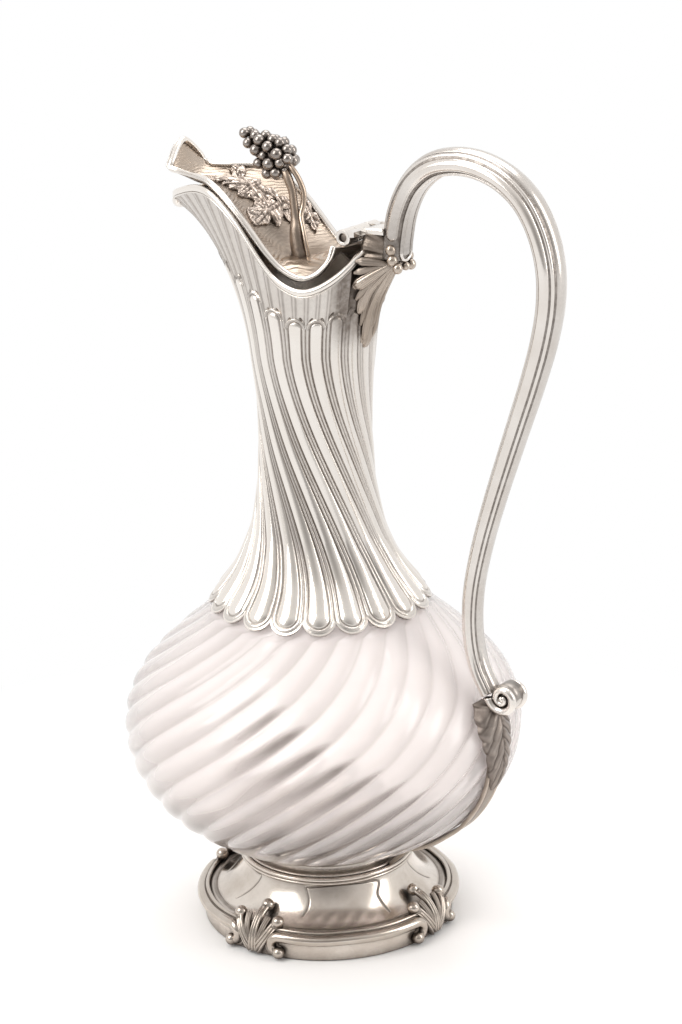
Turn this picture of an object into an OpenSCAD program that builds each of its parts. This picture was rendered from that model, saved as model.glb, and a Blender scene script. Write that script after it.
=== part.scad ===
// Claret jug: a spirally fluted glass body in silver mounts, with a hinged lid.
// Millimetres. Origin: vessel axis at the level the foot stands on. +Z up, handle to +X, spout to -X.

/* [Glass body] */
// Radius of the bulb at its widest, at the crest of a flute
bulb_r = 72.5; // [70:0.5:75]
// Depth of the glass flutes
bulb_flute = 1.3; // [0.6:0.1:1.8]
// How far a glass flute winds round from shoulder to base, degrees
bulb_twist = 105; // [60:5:130]
// Thickness of the glass
glass_wall = 3; // [2:0.1:4]

/* [Neck mount] */
// Number of flutes on the neck, each ending in one scallop over the glass
flutes = 20; // [16:2:24]
// How far a neck flute winds round from top to bottom, degrees
neck_twist = 69; // [40:1:90]
// Height of the flute crests above the grooves, at the shoulder
neck_flute = 1.3; // [0.4:0.1:1.6]
// Thickness of the silver
silver_wall = 1.2; // [0.8:0.1:1.6]
// Rise of the scalloped edge from crest to cusp
scallop_rise = 3.2; // [1:0.1:5]

/* [Lid and hinge] */
// Distance of the hinge axis behind the vessel axis
hinge_x = 20.5; // [20:0.1:21.5]
// Height of the hinge axis
hinge_z = 256; // [255.5:0.1:257]
// Outer diameter of the hinge knuckles
knuckle_d = 5.6; // [5.2:0.1:6]
// Diameter of the hinge pin
pin_d = 3; // [2.6:0.1:3.4]
// Length of all the knuckles together
hinge_len = 20; // [18:0.5:22]
// Running clearance of the pin in the lid's knuckle, on the diameter
pin_play = 0.1; // [0.06:0.01:0.2]
// Diameter of the largest grapes
grape_d = 4.2; // [3.5:0.1:4.6]

/* [Handle] */
// Width of the handle across its reeds, at the top of the arch
handle_w = 12.8; // [11:0.1:14]
// Depth of the handle from inside to outside, at the top of the arch
handle_t = 9.2; // [8:0.1:10]
// Share of those sizes left at the lower scroll
handle_taper = 0.72; // [0.6:0.02:0.9]
// Outer radius of the scroll at the foot of the handle
volute_r = 5.8; // [5:0.1:6.5]

/* [Foot] */
// Radius of the foot's upright wall
foot_r = 46; // [44:0.5:48]
// Height of the upright wall
foot_wall_h = 8.5; // [7:0.5:10]
// Radius of the ring moulding at the top of the foot
collar_r = 31.4; // [30:0.2:33]
// Turn of the foot's four reed clusters from the handle, degrees
foot_turn = 0; // [-10:1:10]

/* [Hidden] */

silver = "Gainsboro";
old_silver = "RosyBrown";
glass_tint = "MistyRose";
plaster = "Linen";

// ---- profiles, as [height, radius] pairs on the crests ----
glass_profile = [
    [31, 30], [33.2, 37], [36.6, 45.4], [40.8, 52], [48, 60.7], [58, 67.8], [68, 71.6], [78, bulb_r],
    [88, 70.3], [98, 64.2], [108, 54], [116, 44.5], [121.5, 38.6]
];
neck_profile = [
    [121.5, 40.4], [127.6, 34.9], [135, 29.6], [142.6, 25.9], [150, 23.3], [165, 20.7],
    [180, 19.8], [195, 19.9], [215, 21.8]
];
neck_low = 121.5;
neck_high = 215;
// The flutes wind round between these heights and run straight above and below them
twist_high = 218;
twist_low = 130;
flute_phase = 1.5; // turn of all the neck's flutes, degrees
rim_lag = 14; // how far the pleats of the mouth lean back from the spout, degrees

// Lower edge of the mouth's rim moulding, as [x, height] pairs from the spout back to the hinge
mouth_heights = [
    [-56, 260.5], [-52, 263.5], [-45, 266], [-40, 267.4], [-35, 268.2], [-30, 267.8], [-25, 265.8],
    [-20, 262.4], [-15, 258], [-10, 252.2], [-5, 246.4], [0, 241.5], [5, 238.4], [10, 237],
    [15, 237.8], [20, 240.8], [24, 245.2], [27, 251]
];
mouth_back = 27;
mouth_tip = -56;
rim_d = 2.4;

// Lower edge of the lid's rim, as [x, half width, height] from the hinge out to the upturned lip
lid_edge = [
    [17, 10.2, 251.2], [16.2, 12.2, 246.6], [13, 15.4, 242.3], [8, 18.2, 240.9], [2, 19.8, 243.6],
    [-4, 20.4, 248.8], [-10, 20.4, 255.3], [-16, 20.2, 261.6], [-23, 19.4, 267.4],
    [-30, 17.6, 270.8], [-37, 14.2, 271.4], [-44, 10.8, 271.4], [-49, 9.4, 271.8], [-52.5, 9.7, 272.8]
];
// Height of the lid's middle line at the same places, and how far back it lies
lid_middle = [
    [17.4, 252.2], [16, 251.6], [12.6, 250.2], [8, 248.9], [2, 247.8], [-4, 248], [-10, 250.6],
    [-16, 256.2], [-23, 262.8], [-30, 267], [-37, 268.3], [-44, 269], [-49.4, 271.5], [-54, 282.4]
];

// ---- small helpers ----
function mix(a, b, t) = a + (b - a) * t;
function ease(t) = let (c = min(1, max(0, t))) c * c * (3 - 2 * c);
function spline4(a, b, c, d, t) =
    0.5 * (2 * b + (c - a) * t + (2 * a - 5 * b + 4 * c - d) * t * t
    + (3 * b - a - 3 * c + d) * t * t * t);
// Point at u on the smooth curve through pts, where u counts points
function along(pts, u) =
    let (n = len(pts), i = max(0, min(floor(u), n - 2)))
    spline4(pts[max(i - 1, 0)], pts[i], pts[i + 1], pts[min(i + 2, n - 1)], u - i);
function span_of(pts, x, i = 0) =
    i >= len(pts) - 2 || x <= pts[i + 1][0] ? i : span_of(pts, x, i + 1);
function slope(pts, i) =
    let (a = pts[max(i - 1, 0)], b = pts[min(i + 1, len(pts) - 1)]) (b[1] - a[1]) / (b[0] - a[0]);
// Height at x of the smooth curve through [x, y] pairs
function at(pts, x) =
    let (
        i = span_of(pts, x), w = pts[i + 1][0] - pts[i][0],
        t = min(1, max(0, (x - pts[i][0]) / w)),
        m0 = slope(pts, i) * w, m1 = slope(pts, i + 1) * w
    )
    (2 * t * t * t - 3 * t * t + 1) * pts[i][1] + (t * t * t - 2 * t * t + t) * m0
    + (3 * t * t - 2 * t * t * t) * pts[i + 1][1] + (t * t * t - t * t) * m1;
function bezier(a, b, c, d, t) =
    let (s = 1 - t) s * s * s * a + 3 * s * s * t * b + 3 * s * t * t * c + t * t * t * d;
function unit(v) = v / norm(v);

// Triangles between two neighbouring rings, where one may have half the points of the other
function band(a0, na, b0, nb) =
    na == nb ? [for (j = [0 : na - 1]) let (m = (j + 1) % na)
        each [[a0 + j, b0 + m, a0 + m], [a0 + j, b0 + j, b0 + m]]]
    : na > nb ? [for (j = [0 : nb - 1]) let (m = (j + 1) % nb, e = (2 * j + 2) % na)
        each [[a0 + 2 * j, b0 + j, a0 + 2 * j + 1], [a0 + 2 * j + 1, b0 + j, b0 + m],
            [a0 + 2 * j + 1, b0 + m, a0 + e]]]
    : [for (j = [0 : na - 1]) let (m = (j + 1) % na, e = (2 * j + 2) % nb)
        each [[a0 + j, b0 + 2 * j, b0 + 2 * j + 1], [a0 + j, b0 + 2 * j + 1, a0 + m],
            [a0 + m, b0 + 2 * j + 1, b0 + e]]];
function starts(rings, i = 0, from = 0) =
    i >= len(rings) ? [] : concat([from], starts(rings, i + 1, from + len(rings[i])));

// Closed skin over rings that return to the first one
module ring_skin(rings) {
    first = starts(rings);
    rows = len(rings);
    polyhedron(
        points = [for (r = rings) each r],
        faces = [for (i = [0 : rows - 1]) let (k = (i + 1) % rows)
            each band(first[i], len(rings[i]), first[k], len(rings[k]))]
    );
}

// Closed skin over rings that each run along one side of a thin sheet and back along the other
module sheet_skin(rings) {
    rows = len(rings);
    count = len(rings[0]);
    last = (rows - 1) * count;
    polyhedron(
        points = [for (r = rings) each r],
        faces = concat(
            [for (i = [0 : rows - 2]) each band(i * count, count, (i + 1) * count, count)],
            [for (k = [0 : count / 2 - 2]) let (m = count - 1 - k)
                each [[k, k + 1, m - 1], [k, m - 1, m],
                    [last + k, last + m - 1, last + k + 1], [last + k, last + m, last + m - 1]]]
        )
    );
}

function middle(r) = [for (k = [0 : 2]) [for (p = r) p[k]] * [for (p = r) 1] / len(r)];
// Closed skin over rings, with a fan of triangles over each end
module capped_skin(rings) {
    first = starts(rings);
    rows = len(rings);
    last = rings[rows - 1];
    total = first[rows - 1] + len(last);
    polyhedron(
        points = concat([for (r = rings) each r], [middle(rings[0]), middle(last)]),
        faces = concat(
            [for (i = [0 : rows - 2])
                each band(first[i], len(rings[i]), first[i + 1], len(rings[i + 1]))],
            [for (j = [0 : len(rings[0]) - 1]) [total, j, (j + 1) % len(rings[0])]],
            [for (j = [0 : len(last) - 1])
                [total + 1, first[rows - 1] + (j + 1) % len(last), first[rows - 1] + j]]
        )
    );
}

// ---- glass ----
flute_steps = 4;
columns = flutes * flute_steps;
function groove_depth(j) = 1 - sin(180 * (j % flute_steps) / flute_steps);

glass_low = 31;
glass_high = 121.5;
neck_glass_top = 226;
neck_gap = 2.2; // from the crest of the silver to the glass inside it
glass_levels = [31, 33, 36.5, 41, 48, 57, 67, 78, 89, 98, 106, 113, 119];

function glass_angle(j, z) =
    360 * j / columns - bulb_twist * (glass_high - z) / (glass_high - glass_low);
function glass_ring(z) =
    let (fade = ease((z - glass_low) / 14) * (1 - 0.6 * ease((z - 100) / 22)))
    [for (j = [0 : columns - 1])
        let (
            a = glass_angle(j, z),
            r = at(glass_profile, z) - bulb_flute * fade * groove_depth(j)
        )
        [r * cos(a), r * sin(a), z]];

function round_ring(r, z, n) = [for (j = [0 : n - 1]) [r * cos(360 * j / n), r * sin(360 * j / n), z]];
function glass_neck_r(z) = at(neck_profile, z) - neck_gap - 1;

module glass_body() color(glass_tint) {
    slim = columns / 2;
    ring_skin(concat(
        [for (z = glass_levels) glass_ring(z)],
        [for (z = [123, 133, 150, 180, 215]) round_ring(glass_neck_r(z), z, slim)],
        [round_ring(19.4, neck_glass_top, slim), round_ring(16, neck_glass_top, slim)],
        [for (z = [215, 180, 150, 133]) round_ring(glass_neck_r(z) - glass_wall, z, slim)],
        [for (z = [119, 105, 91, 76, 60, 50])
            round_ring(at(glass_profile, z) - glass_wall - bulb_flute, z, slim)],
        [round_ring(47, 43.5, slim), round_ring(24, 38.4, slim), round_ring(0.5, 37.6, slim)],
        [round_ring(0.5, glass_low - 0.02, slim)]
    ));
}

// Plaster that beds the silver neck on the glass, in two bands
module neck_bedding() color(plaster) {
    for (band = [[124, 134], [204, 215]]) {
        rotate_extrude($fn = 96) polygon(concat(
            [for (k = [0 : 3]) let (z = mix(band[0], band[1], k / 3))
                [at(neck_profile, z) - neck_gap - 0.95, z]],
            [for (k = [3 : -1 : 0]) let (z = mix(band[0], band[1], k / 3))
                [at(neck_profile, z) - neck_gap + 0.02, z]]
        ));
    }
}

// ---- neck mount: scalloped edge, twisted flutes, arches, then the spouted mouth ----
// Height across one flute of the upper neck: the ridge between two panels, an edge, the panel
panel_heights = [0.2, -0.2, 0.45, 0.45, -0.2];
neck_steps_across = len(panel_heights);
neck_columns = flutes * neck_steps_across;
// Height of a flute's crest over its groove, 0 to 1, across one flute of the lower neck
function crown(j) = let (p = (j % neck_steps_across) / neck_steps_across) 1 - pow(2 * p - 1, 2);
function neck_turn(z) = neck_twist * ease((twist_high - z) / (twist_high - twist_low));
function column_angle(j) = 360 * (j / neck_columns) + 180 / flutes + flute_phase;
function flute_height(j, z) =
    mix(panel_heights[j % neck_steps_across], -neck_flute * (1 - crown(j)), ease((160 - z) / 38));

// Plan of the mouth: s runs 0 at the hinge, 180 at the spout
function mouth_x(s) = mix(mouth_tip, mouth_back, (1 + cos(s)) / 2);
function mouth_y(s) = let (c = cos(s)) sin(s) * (21.6 + (c > 0 ? 4.5 * c + 7 * c * c : 2.5 * c));
function mouth_point(s, inward = 0, up = 0) =
    let (x = mouth_x(s), y = mouth_y(s), n = unit([x + 14, y * 1.6, 0]))
    [x, y, at(mouth_heights, x) + up] - inward * n;
function neck_point(j, u, inward = 0) =
    let (
        a = column_angle(j),
        z = mix(neck_low + scallop_rise * (1 - crown(j)), neck_high, u),
        r = at(neck_profile, z) + (inward > 0 ? -inward : flute_height(j, z)),
        b = a + neck_turn(z)
    )
    [r * cos(b), r * sin(b), z];
function collar_point(j, u, inward = 0) =
    let (
        a = column_angle(j), d = neck_turn(neck_high),
        r = at(neck_profile, neck_high) + (inward > 0 ? -inward : flute_height(j, neck_high) * (1 - u)),
        base = [r * cos(a + d), r * sin(a + d), neck_high],
        rim = mouth_point(a - rim_lag * sin(a), inward),
        rise = rim[2] - neck_high,
        lean = [rim[0] - base[0], rim[1] - base[1], 0],
        spout = pow(max(0, -cos(a)), 2)
    )
    bezier(base, base + 0.065 * spout * lean + rise * [0.04 * cos(a + d), 0.04 * sin(a + d), 0.43],
        rim - mix(0.42, 0.53, spout) * lean - [0, 0, rise * mix(0.42, 0.19, spout)], rim, u);
neck_steps = [0, 0.03, 0.08, 0.15, 0.24, 0.34, 0.44, 0.54, 0.64, 0.74, 0.86];
collar_steps = [0, 0.25, 0.5, 0.75, 1];
inner_steps = [0.85, 0.55, 0.3, 0.12];

module neck_mount() color(silver) {
    ring_skin(concat(
        [for (u = neck_steps) [for (j = [0 : neck_columns - 1]) neck_point(j, u)]],
        [for (u = collar_steps) [for (j = [0 : neck_columns - 1]) collar_point(j, u)]],
        [for (u = [1, 0.6, 0.3]) [for (j = [0 : 2 : neck_columns - 1]) collar_point(j, u, silver_wall)]],
        [for (u = inner_steps) [for (j = [0 : 2 : neck_columns - 1]) neck_point(j, u, silver_wall + 0.4)]],
        [[for (j = [0 : neck_columns - 1]) neck_point(j, 0, silver_wall + 0.4)]]
    ));
}

// Half-round moulding on a closed path: each point has a place and an outward direction
function rim_ring(place, out, d) =
    [for (k = [0 : 5]) let (a = 60 * k + 30) place + d / 2 * (cos(a) * out + sin(a) * [0, 0, 1])];

mouth_rim_steps = 48;
module mouth_rim() color(silver) {
    ring_skin([for (i = [0 : mouth_rim_steps - 1])
        let (
            s = 360 * i / mouth_rim_steps, p = mouth_point(s, 0.6, rim_d / 2),
            n = unit([p[0] + 14, p[1] * 1.6, 0])
        )
        rim_ring(p, n, rim_d)]);
}

// ---- handle ----
// Centre line of the handle in its own plane, [x, z], from the bracket over to the scroll
handle_path = [
    [35.4, 249], [36.2, 256.5], [38.4, 266], [43.2, 275], [50.8, 281.2], [60.2, 283.5],
    [69.8, 282.7], [79, 279], [86.8, 272.4], [92.4, 262.8], [95.4, 251.5], [95.5, 239.5],
    [93.1, 226.5], [88.9, 212.5], [84, 198.5], [78.9, 184], [73.8, 169], [69.2, 154],
    [65.7, 139], [64.5, 127], [65.1, 116.5], [67.4, 107.5], [71.6, 99.6]
];
handle_steps = 38;
// Half of the reeded section, [across, outward], from the outside face round to the inside face
reeded = [
    [0, 0.5], [0.15, 0.485], [0.23, 0.37], [0.35, 0.345], [0.4, 0.23], [0.48, 0.12],
    [0.5, -0.03], [0.45, -0.22], [0.35, -0.33], [0.27, -0.36], [0.22, -0.47]
];
reeded_section = concat(
    reeded,
    [[0, -0.5]],
    [for (k = [len(reeded) - 1 : -1 : 1]) [-reeded[k][0], reeded[k][1]]]
);
function handle_ring(u) =
    let (
        n = len(handle_path) - 1, p = along(handle_path, u * n),
        q = along(handle_path, min(n, u * n + 0.05)), o = along(handle_path, max(0, u * n - 0.05)),
        dir = unit(q - o), out = [-dir[1], dir[0]], share = mix(1, handle_taper, ease((u - 0.38) / 0.5))
    )
    [for (s = reeded_section)
        [p[0] + out[0] * s[1] * handle_t * share, s[0] * handle_w * share,
            p[1] + out[1] * s[1] * handle_t * share]];

module handle() color(silver) {
    capped_skin([for (i = [0 : handle_steps]) handle_ring(i / handle_steps)]);
}

// Scroll that ends the handle: a flat-sided spiral band
volute_centre = [78.4, 99.6];
volute_turns = 1.6;
volute_steps = 40;
function volute_point(a, inner) =
    let (t = a / (360 * volute_turns), r = mix(volute_r, 1.2, t) - (inner ? mix(2.6, 1.1, t) : 0))
    [volute_centre[0] + r * cos(a - 170), volute_centre[1] + r * sin(a - 170)];

module volute_band() {
    polygon(concat(
        [for (k = [0 : volute_steps]) volute_point(360 * volute_turns * k / volute_steps, false)],
        [for (k = [volute_steps : -1 : 0]) volute_point(360 * volute_turns * k / volute_steps, true)]
    ));
}

module handle_volute() color(silver) {
    volute_w = 0.8 * handle_w * handle_taper;
    rotate([90, 0, 0]) linear_extrude(height = volute_w, center = true) volute_band();
    translate([volute_centre[0], 0, volute_centre[1]]) rotate([90, 0, 0])
        cylinder(r = 1.5, h = volute_w + 0.8, center = true, $fn = 32);
}

// Fan-shaped leaf that carries the handle on the back of the neck:
// [height, inner x, outer x, half width] from its tip up to the shelf
bracket_levels = [
    [217, 21.7, 22.5, 1], [221, 21.9, 23.6, 2.4], [227, 22.3, 25.2, 4], [233, 23, 28.7, 6],
    [240, 24.4, 33.2, 8], [246, 25.9, 37.2, 8], [250, 27, 38.4, 6.8], [254, 28, 36.6, 6.4],
    [257.6, 28.4, 34.4, 6.2]
];
leaf_lobes = 5;
// Ring of a lobed leaf: the inner side follows a round body of radius bed, the outer side is lobed
function leaf_ring(z, x_in, x_out, w, bed, lobe) =
    concat(
        [for (k = [-2 : 2]) let (y = w * k / 2.2)
            [x_in - bed + sqrt(bed * bed - y * y), y, z]],
        [for (k = [0 : 2 * leaf_lobes]) let (a = 90 - 180 * k / (2 * leaf_lobes))
            [x_in + (x_out - x_in) * cos(a) * (k % 2 == 0 ? 1 - lobe : 1), w * sin(a), z]]
    );

module handle_bracket() color(old_silver) {
    capped_skin([for (b = bracket_levels) let (r = leaf_ring(b[0], b[1], b[2], b[3], 23, 0.12))
        [for (k = [len(r) - 1 : -1 : 0]) r[k]]]);
}

// Flat shelf from the hinge back to the handle
shelf_top = 259.4;
module bracket_shelf() color(silver) {
    rotate([90, 0, 0]) linear_extrude(height = 12, center = true) polygon([
        [hinge_x + 4.6, hinge_z + 0.4], [hinge_x + 4.6, hinge_z + 2.6], [28.5, shelf_top],
        [33.6, shelf_top], [34.3, 257.6], [28.4, 257.6]
    ]);
}

// Three graduated beads on each side, between the rails at the root of the handle
module bracket_beads() color(silver) {
    for (side = [-1, 1], k = [0 : 2]) {
        translate([33.2 + 1.6 * k, side * (6.6 - 0.5 * k), 254.2 - 3.7 * k])
            sphere(r = 1.7 - 0.15 * k, $fn = 32);
    }
}

// ---- hinge ----
fixed_knuckle = (hinge_len - 8.6) / 2;
lid_knuckle_len = 8;
module along_hinge(from, to, d) {
    translate([hinge_x, to, hinge_z]) rotate([90, 0, 0]) cylinder(d = d, h = to - from, $fn = 48);
}

module hinge_knuckles() color(silver) {
    difference() {
        for (side = [-1, 1]) {
            union() {
                along_hinge(
                    side > 0 ? hinge_len / 2 - fixed_knuckle : -hinge_len / 2,
                    side > 0 ? hinge_len / 2 : fixed_knuckle - hinge_len / 2, knuckle_d
                );
                translate([
                    hinge_x + 1.9, side * hinge_len / 2 - (side > 0 ? fixed_knuckle : 0), hinge_z + 0.4
                ]) cube([2.7, fixed_knuckle, 1.8]);
            }
        }
        along_hinge(-hinge_len, hinge_len, pin_d + 0.04);
    }
}

module hinge_pin() color(old_silver) along_hinge(-hinge_len / 2 + 0.8, hinge_len / 2 - 0.8, pin_d);

module lid_knuckle() color(silver) {
    difference() {
        along_hinge(-lid_knuckle_len / 2, lid_knuckle_len / 2, knuckle_d);
        along_hinge(-hinge_len, hinge_len, pin_d + pin_play);
    }
}

module lid_hinge_plate() color(silver) {
    difference() {
        rotate([90, 0, 0]) linear_extrude(height = lid_knuckle_len, center = true) polygon([
            [hinge_x - 2.4, hinge_z - 0.6], [hinge_x - 1.4, hinge_z - 2.3], [17.2, 252.1], [16.6, 253.4]
        ]);
        along_hinge(-hinge_len, hinge_len, knuckle_d);
    }
}

// ---- lid ----
lid_columns = 14;
lid_gauge = 1.1;
// Stations from here on belong to the upturned lip, which rises to a rounded point
lip_station = 11;
lip_turns = [12, 42, 80];
function lip_arch(v) = 1 - pow(abs(v), 1.5);
function lid_station(i) =
    let (e = lid_edge[i], m = lid_middle[i])
    [for (k = [0 : lid_columns]) let (v = 2 * k / lid_columns - 1, w = 1 - v * v)
        [mix(e[0], m[0], w), e[1] * v, mix(e[2] + rim_d / 2, m[1], i > lip_station ? lip_arch(v) : w)]];
function drop(ring, d) = [for (p = ring) p - d];
// Thickness direction of the lid at a station: down, turning forward at the upturned lip
function lid_down(i) =
    let (turn = i < lip_station ? 0 : lip_turns[i - lip_station]) lid_gauge * [sin(turn), 0, cos(turn)];
module lid_shell() color(silver) {
    sheet_skin([for (i = [len(lid_edge) - 1 : -1 : 0]) let (top = lid_station(i))
        concat(top, [for (k = [lid_columns : -1 : 0]) top[k] - lid_down(i)])]);
}

// Path of the lid's rim: out along one side, round the lip, back along the other
lip_steps = 5;
function lid_rim_path() =
    concat(
        [for (e = lid_edge) [e[0], -e[1], e[2] + rim_d / 2]],
        [for (k = [1 : lip_steps])
            let (v = 2 * k / (lip_steps + 1) - 1, n = len(lid_edge) - 1, w = 1 - v * v)
            [mix(lid_edge[n][0], lid_middle[n][0], w), lid_edge[n][1] * v,
                mix(lid_edge[n][2] + rim_d / 2, lid_middle[n][1], lip_arch(v))]],
        [for (k = [len(lid_edge) - 1 : -1 : 0])
            [lid_edge[k][0], lid_edge[k][1], lid_edge[k][2] + rim_d / 2]]
    );
module lid_rim() color(silver) {
    path = lid_rim_path();
    n = len(path);
    capped_skin([for (i = [0 : n - 1])
        let (
            d = unit(path[min(n - 1, i + 1)] - path[max(0, i - 1)]),
            side = unit(cross(d, [0, 0, 1])), up = cross(side, d), o = path[i] + 0.5 * side
        )
        [for (k = [5 : -1 : 0]) let (a = 60 * k + 30)
            o + rim_d / 2 * (cos(a) * side + sin(a) * up)]]);
}

// ---- vine on the lid ----
// Grape k of the bunch: rings of grapes round a line from the stem to the tip
bunch_base = [-9.5, 0, 273];
bunch_tip = [-27, 0, 287.5];
bunch_core = [5.2, 3];
grape_places = [for (row = [0 : 5], k = [0 : (row == 5 ? 0 : row == 4 ? 2 : row == 0 ? 3 : 4)])
    let (
        t = row / 5, count = row == 5 ? 1 : row == 4 ? 3 : row == 0 ? 4 : 5,
        spread = row == 5 ? 0 : mix(4.1, 2.1, t), a = 360 * k / count + 40 * row,
        dir = unit(bunch_tip - bunch_base), out = [-dir[2], 0, dir[0]]
    )
    bunch_base + t * (bunch_tip - bunch_base) + spread * (cos(a) * out + sin(a) * [0, 1, 0])];
module grape_cluster() color(old_silver) {
    for (p = grape_places) translate(p) hull() sphere(d = grape_d, $fn = 8);
    hull() {
        translate(bunch_base) sphere(d = bunch_core[0], $fn = 8);
        translate(bunch_tip) sphere(d = bunch_core[1], $fn = 8);
    }
}

// Round bar along a list of points, d thick at the start and e thick at the end
module bar(path, d, e, sides = 8) {
    n = len(path);
    capped_skin([for (i = [0 : n - 1])
        let (
            t = unit(path[min(n - 1, i + 1)] - path[max(0, i - 1)]),
            side = unit(cross(t, [0.1, 1, 0.05])), up = cross(side, t), r = mix(d, e, i / (n - 1)) / 2
        )
        [for (k = [0 : sides - 1]) let (a = -360 * k / sides)
            path[i] + r * (cos(a) * side + sin(a) * up)]]);
}

stem_path = [
    [0.3, -6.2, 247.3], [-1.2, -5.5, 251.4], [-2, -5, 255.7], [-2.8, -4, 258.9], [-3.8, -3.5, 263.9],
    [-4.8, -3, 268.9], [-6.4, -2.6, 272], [-8.6, -1.2, 273.4]
];
module vine_stem() color(silver) bar(stem_path, 3.4, 2.6);

// Pointed, lobed vine leaf: an outline of five lobes, laid on the lid and curled at its edge
function leaf_outline(a) = 0.62 + 0.38 * abs(cos(2.5 * a)) * (1 - 0.25 * abs(a) / 180);
module vine_leaf(place, length, turn, tilt, gauge) {
    points = 30;
    translate(place) rotate([0, tilt, 0]) rotate([0, 0, turn]) {
        top = [for (k = [0 : points - 1]) let (a = 360 * k / points - 180, r = length / 2 * leaf_outline(a))
            [r * cos(a), r * sin(a) * 0.9, 0.9 - 1.5 * pow(r / length * 2, 2) + gauge]];
        inner = [for (p = top) [p[0] * 0.5, p[1] * 0.5, gauge + 0.9]];
        capped_skin([drop(top, [0, 0, gauge]), top, inner]);
    }
}
module vine_leaf_large() color(silver) vine_leaf([-27.5, 3, 266.3], 20, 200, 28, 1.1);
module vine_leaf_small() color(silver) vine_leaf([-18.5, -1, 259.4], 13, 250, 42, 1.1);
module vine_leaf_far() color(silver) vine_leaf([-11.5, 13, 255], 11, 100, 42, 1.1);

// ---- lower end of the handle ----
function bulb_point(z, off) =
    let (
        a = [at(glass_profile, z - 0.5), z - 0.5], b = [at(glass_profile, z + 0.5), z + 0.5],
        t = unit(b - a)
    )
    [at(glass_profile, z) + off * t[1], z - off * t[0]];
strap_levels = [33.6, 36, 39, 43, 48, 54, 62, 70, 78, 85];
strap_gap = 0.15;
strap_gauge = 1.5;
module bulb_strap() color(silver) {
    rotate([90, 0, 0]) linear_extrude(height = 9, center = true) polygon(concat(
        [[30.3, 26.2]],
        [for (z = strap_levels) bulb_point(z, strap_gap)],
        [for (k = [len(strap_levels) - 1 : -1 : 0]) bulb_point(strap_levels[k], strap_gap + strap_gauge)],
        [[31, 24.8]]
    ));
}

// Acanthus leaf under the scroll: [height, distance out from the strap, half width]
lower_leaf_levels = [
    [63, 0.8, 0.8], [66, 1.6, 2.4], [70, 2.2, 3.8], [77, 2.8, 6], [84, 3.6, 7.8], [90, 5.2, 8],
    [95, 7, 5.6]
];
module lower_leaf() color(old_silver) {
    capped_skin([for (b = lower_leaf_levels)
        let (
            x = at(glass_profile, b[0]) + strap_gap + strap_gauge,
            r = leaf_ring(b[0], x, x + b[1], b[2], bulb_r, 0.15)
        )
        [for (k = [len(r) - 1 : -1 : 0]) r[k]]]);
}

// ---- foot ----
collar_z = 24.2;
module glass_seat() color(silver) {
    rotate_extrude($fn = 96) polygon([
        [21, 25], [30.2, 25], [30.6, 25.5], [30.2, 26], [28.4, 26.3], [27.7, 27.6], [28, 29], [29.4, 29.8],
        [30, 30.3], [29.8, 30.8], [21, 30.8]
    ]);
}
module seat_bedding() color(plaster) {
    translate([0, 0, 24]) cylinder(r = 21, h = glass_low - 24.05, $fn = 64);
}
module foot_collar() color(silver) {
    rotate_extrude($fn = 96) intersection() {
        translate([collar_r - 1.6, collar_z]) circle(r = 1.6, $fn = 32);
        translate([20, collar_z - 1.2]) square([20, 2]);
    }
}

dome_top_r = 30.4;
dome_low_r = 41.8;
dome_low_z = 10;
dome_top_z = 23;
function dome_edge(t, off) = bezier(
    [dome_top_r, dome_top_z], [dome_top_r + 1, dome_low_z + 8], [dome_low_r - 5, dome_low_z + 0.5],
    [dome_low_r, dome_low_z], t) - [off, off];
module foot_dome() color(silver) {
    rotate_extrude($fn = 96) polygon(concat(
        [[20, 24], [20, dome_top_z - 0.2], [dome_top_r - 1.2, dome_top_z - 0.2]],
        [for (k = [1 : 8]) dome_edge(k / 8, 0.9)],
        [for (k = [8 : -1 : 0]) dome_edge(k / 8, 0)],
        [[dome_top_r - 2, 24]]
    ));
}

module foot_wall() color(silver) {
    rotate_extrude($fn = 96) polygon([
        [foot_r - 3, 0], [foot_r, 0], [foot_r, foot_wall_h], [foot_r - 1.6, foot_wall_h + 1.6],
        [dome_low_r + 0.4, dome_low_z + 0.4], [dome_low_r, dome_low_z - 0.1],
        [dome_low_r - 1, dome_low_z - 1],
        [foot_r - 2, foot_wall_h - 1.4], [foot_r - 1.6, 3], [foot_r - 3, 2]
    ]);
}

// C-scroll over one of the four panels of the foot wall: a heavy roll whose ends curl down
// to a ball, and a thin ridge behind it
scroll_half_angle = 32.5;
scroll_d = 4.2;
curl_r = 3.1;
curl_d = 3.4;
scroll_ball_d = 4.4;
ridge_d = 1.8;
module foot_scroll(turn) {
    roll_r = foot_r + 0.6;
    roll_z = foot_wall_h + 0.2;
    rotate([0, 0, foot_turn + turn]) {
        rotate([0, 0, -scroll_half_angle]) rotate_extrude(angle = 2 * scroll_half_angle, $fn = 96)
            translate([roll_r, roll_z]) circle(d = scroll_d, $fn = 32);
        rotate([0, 0, -scroll_half_angle]) rotate_extrude(angle = 2 * scroll_half_angle, $fn = 96)
            translate([roll_r - 2.6, roll_z + 1.6]) circle(d = ridge_d, $fn = 32);
        for (side = [-1, 1]) {
            rotate([0, 0, side * scroll_half_angle]) {
                translate([roll_r, 0, roll_z - curl_r]) rotate([0, -90, 0])
                    rotate([0, 0, side > 0 ? 0 : -180]) rotate_extrude(angle = 180, $fn = 48)
                        translate([curl_r, 0]) circle(d = curl_d, $fn = 32);
                translate([roll_r + 0.9, 0, roll_z - 2 * curl_r]) sphere(d = scroll_ball_d, $fn = 32);
            }
        }
    }
}
module foot_scroll_front() color(silver) foot_scroll(-45);
module foot_scroll_right() color(silver) foot_scroll(45);
module foot_scroll_back() color(silver) foot_scroll(135);
module foot_scroll_left() color(silver) foot_scroll(225);

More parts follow.
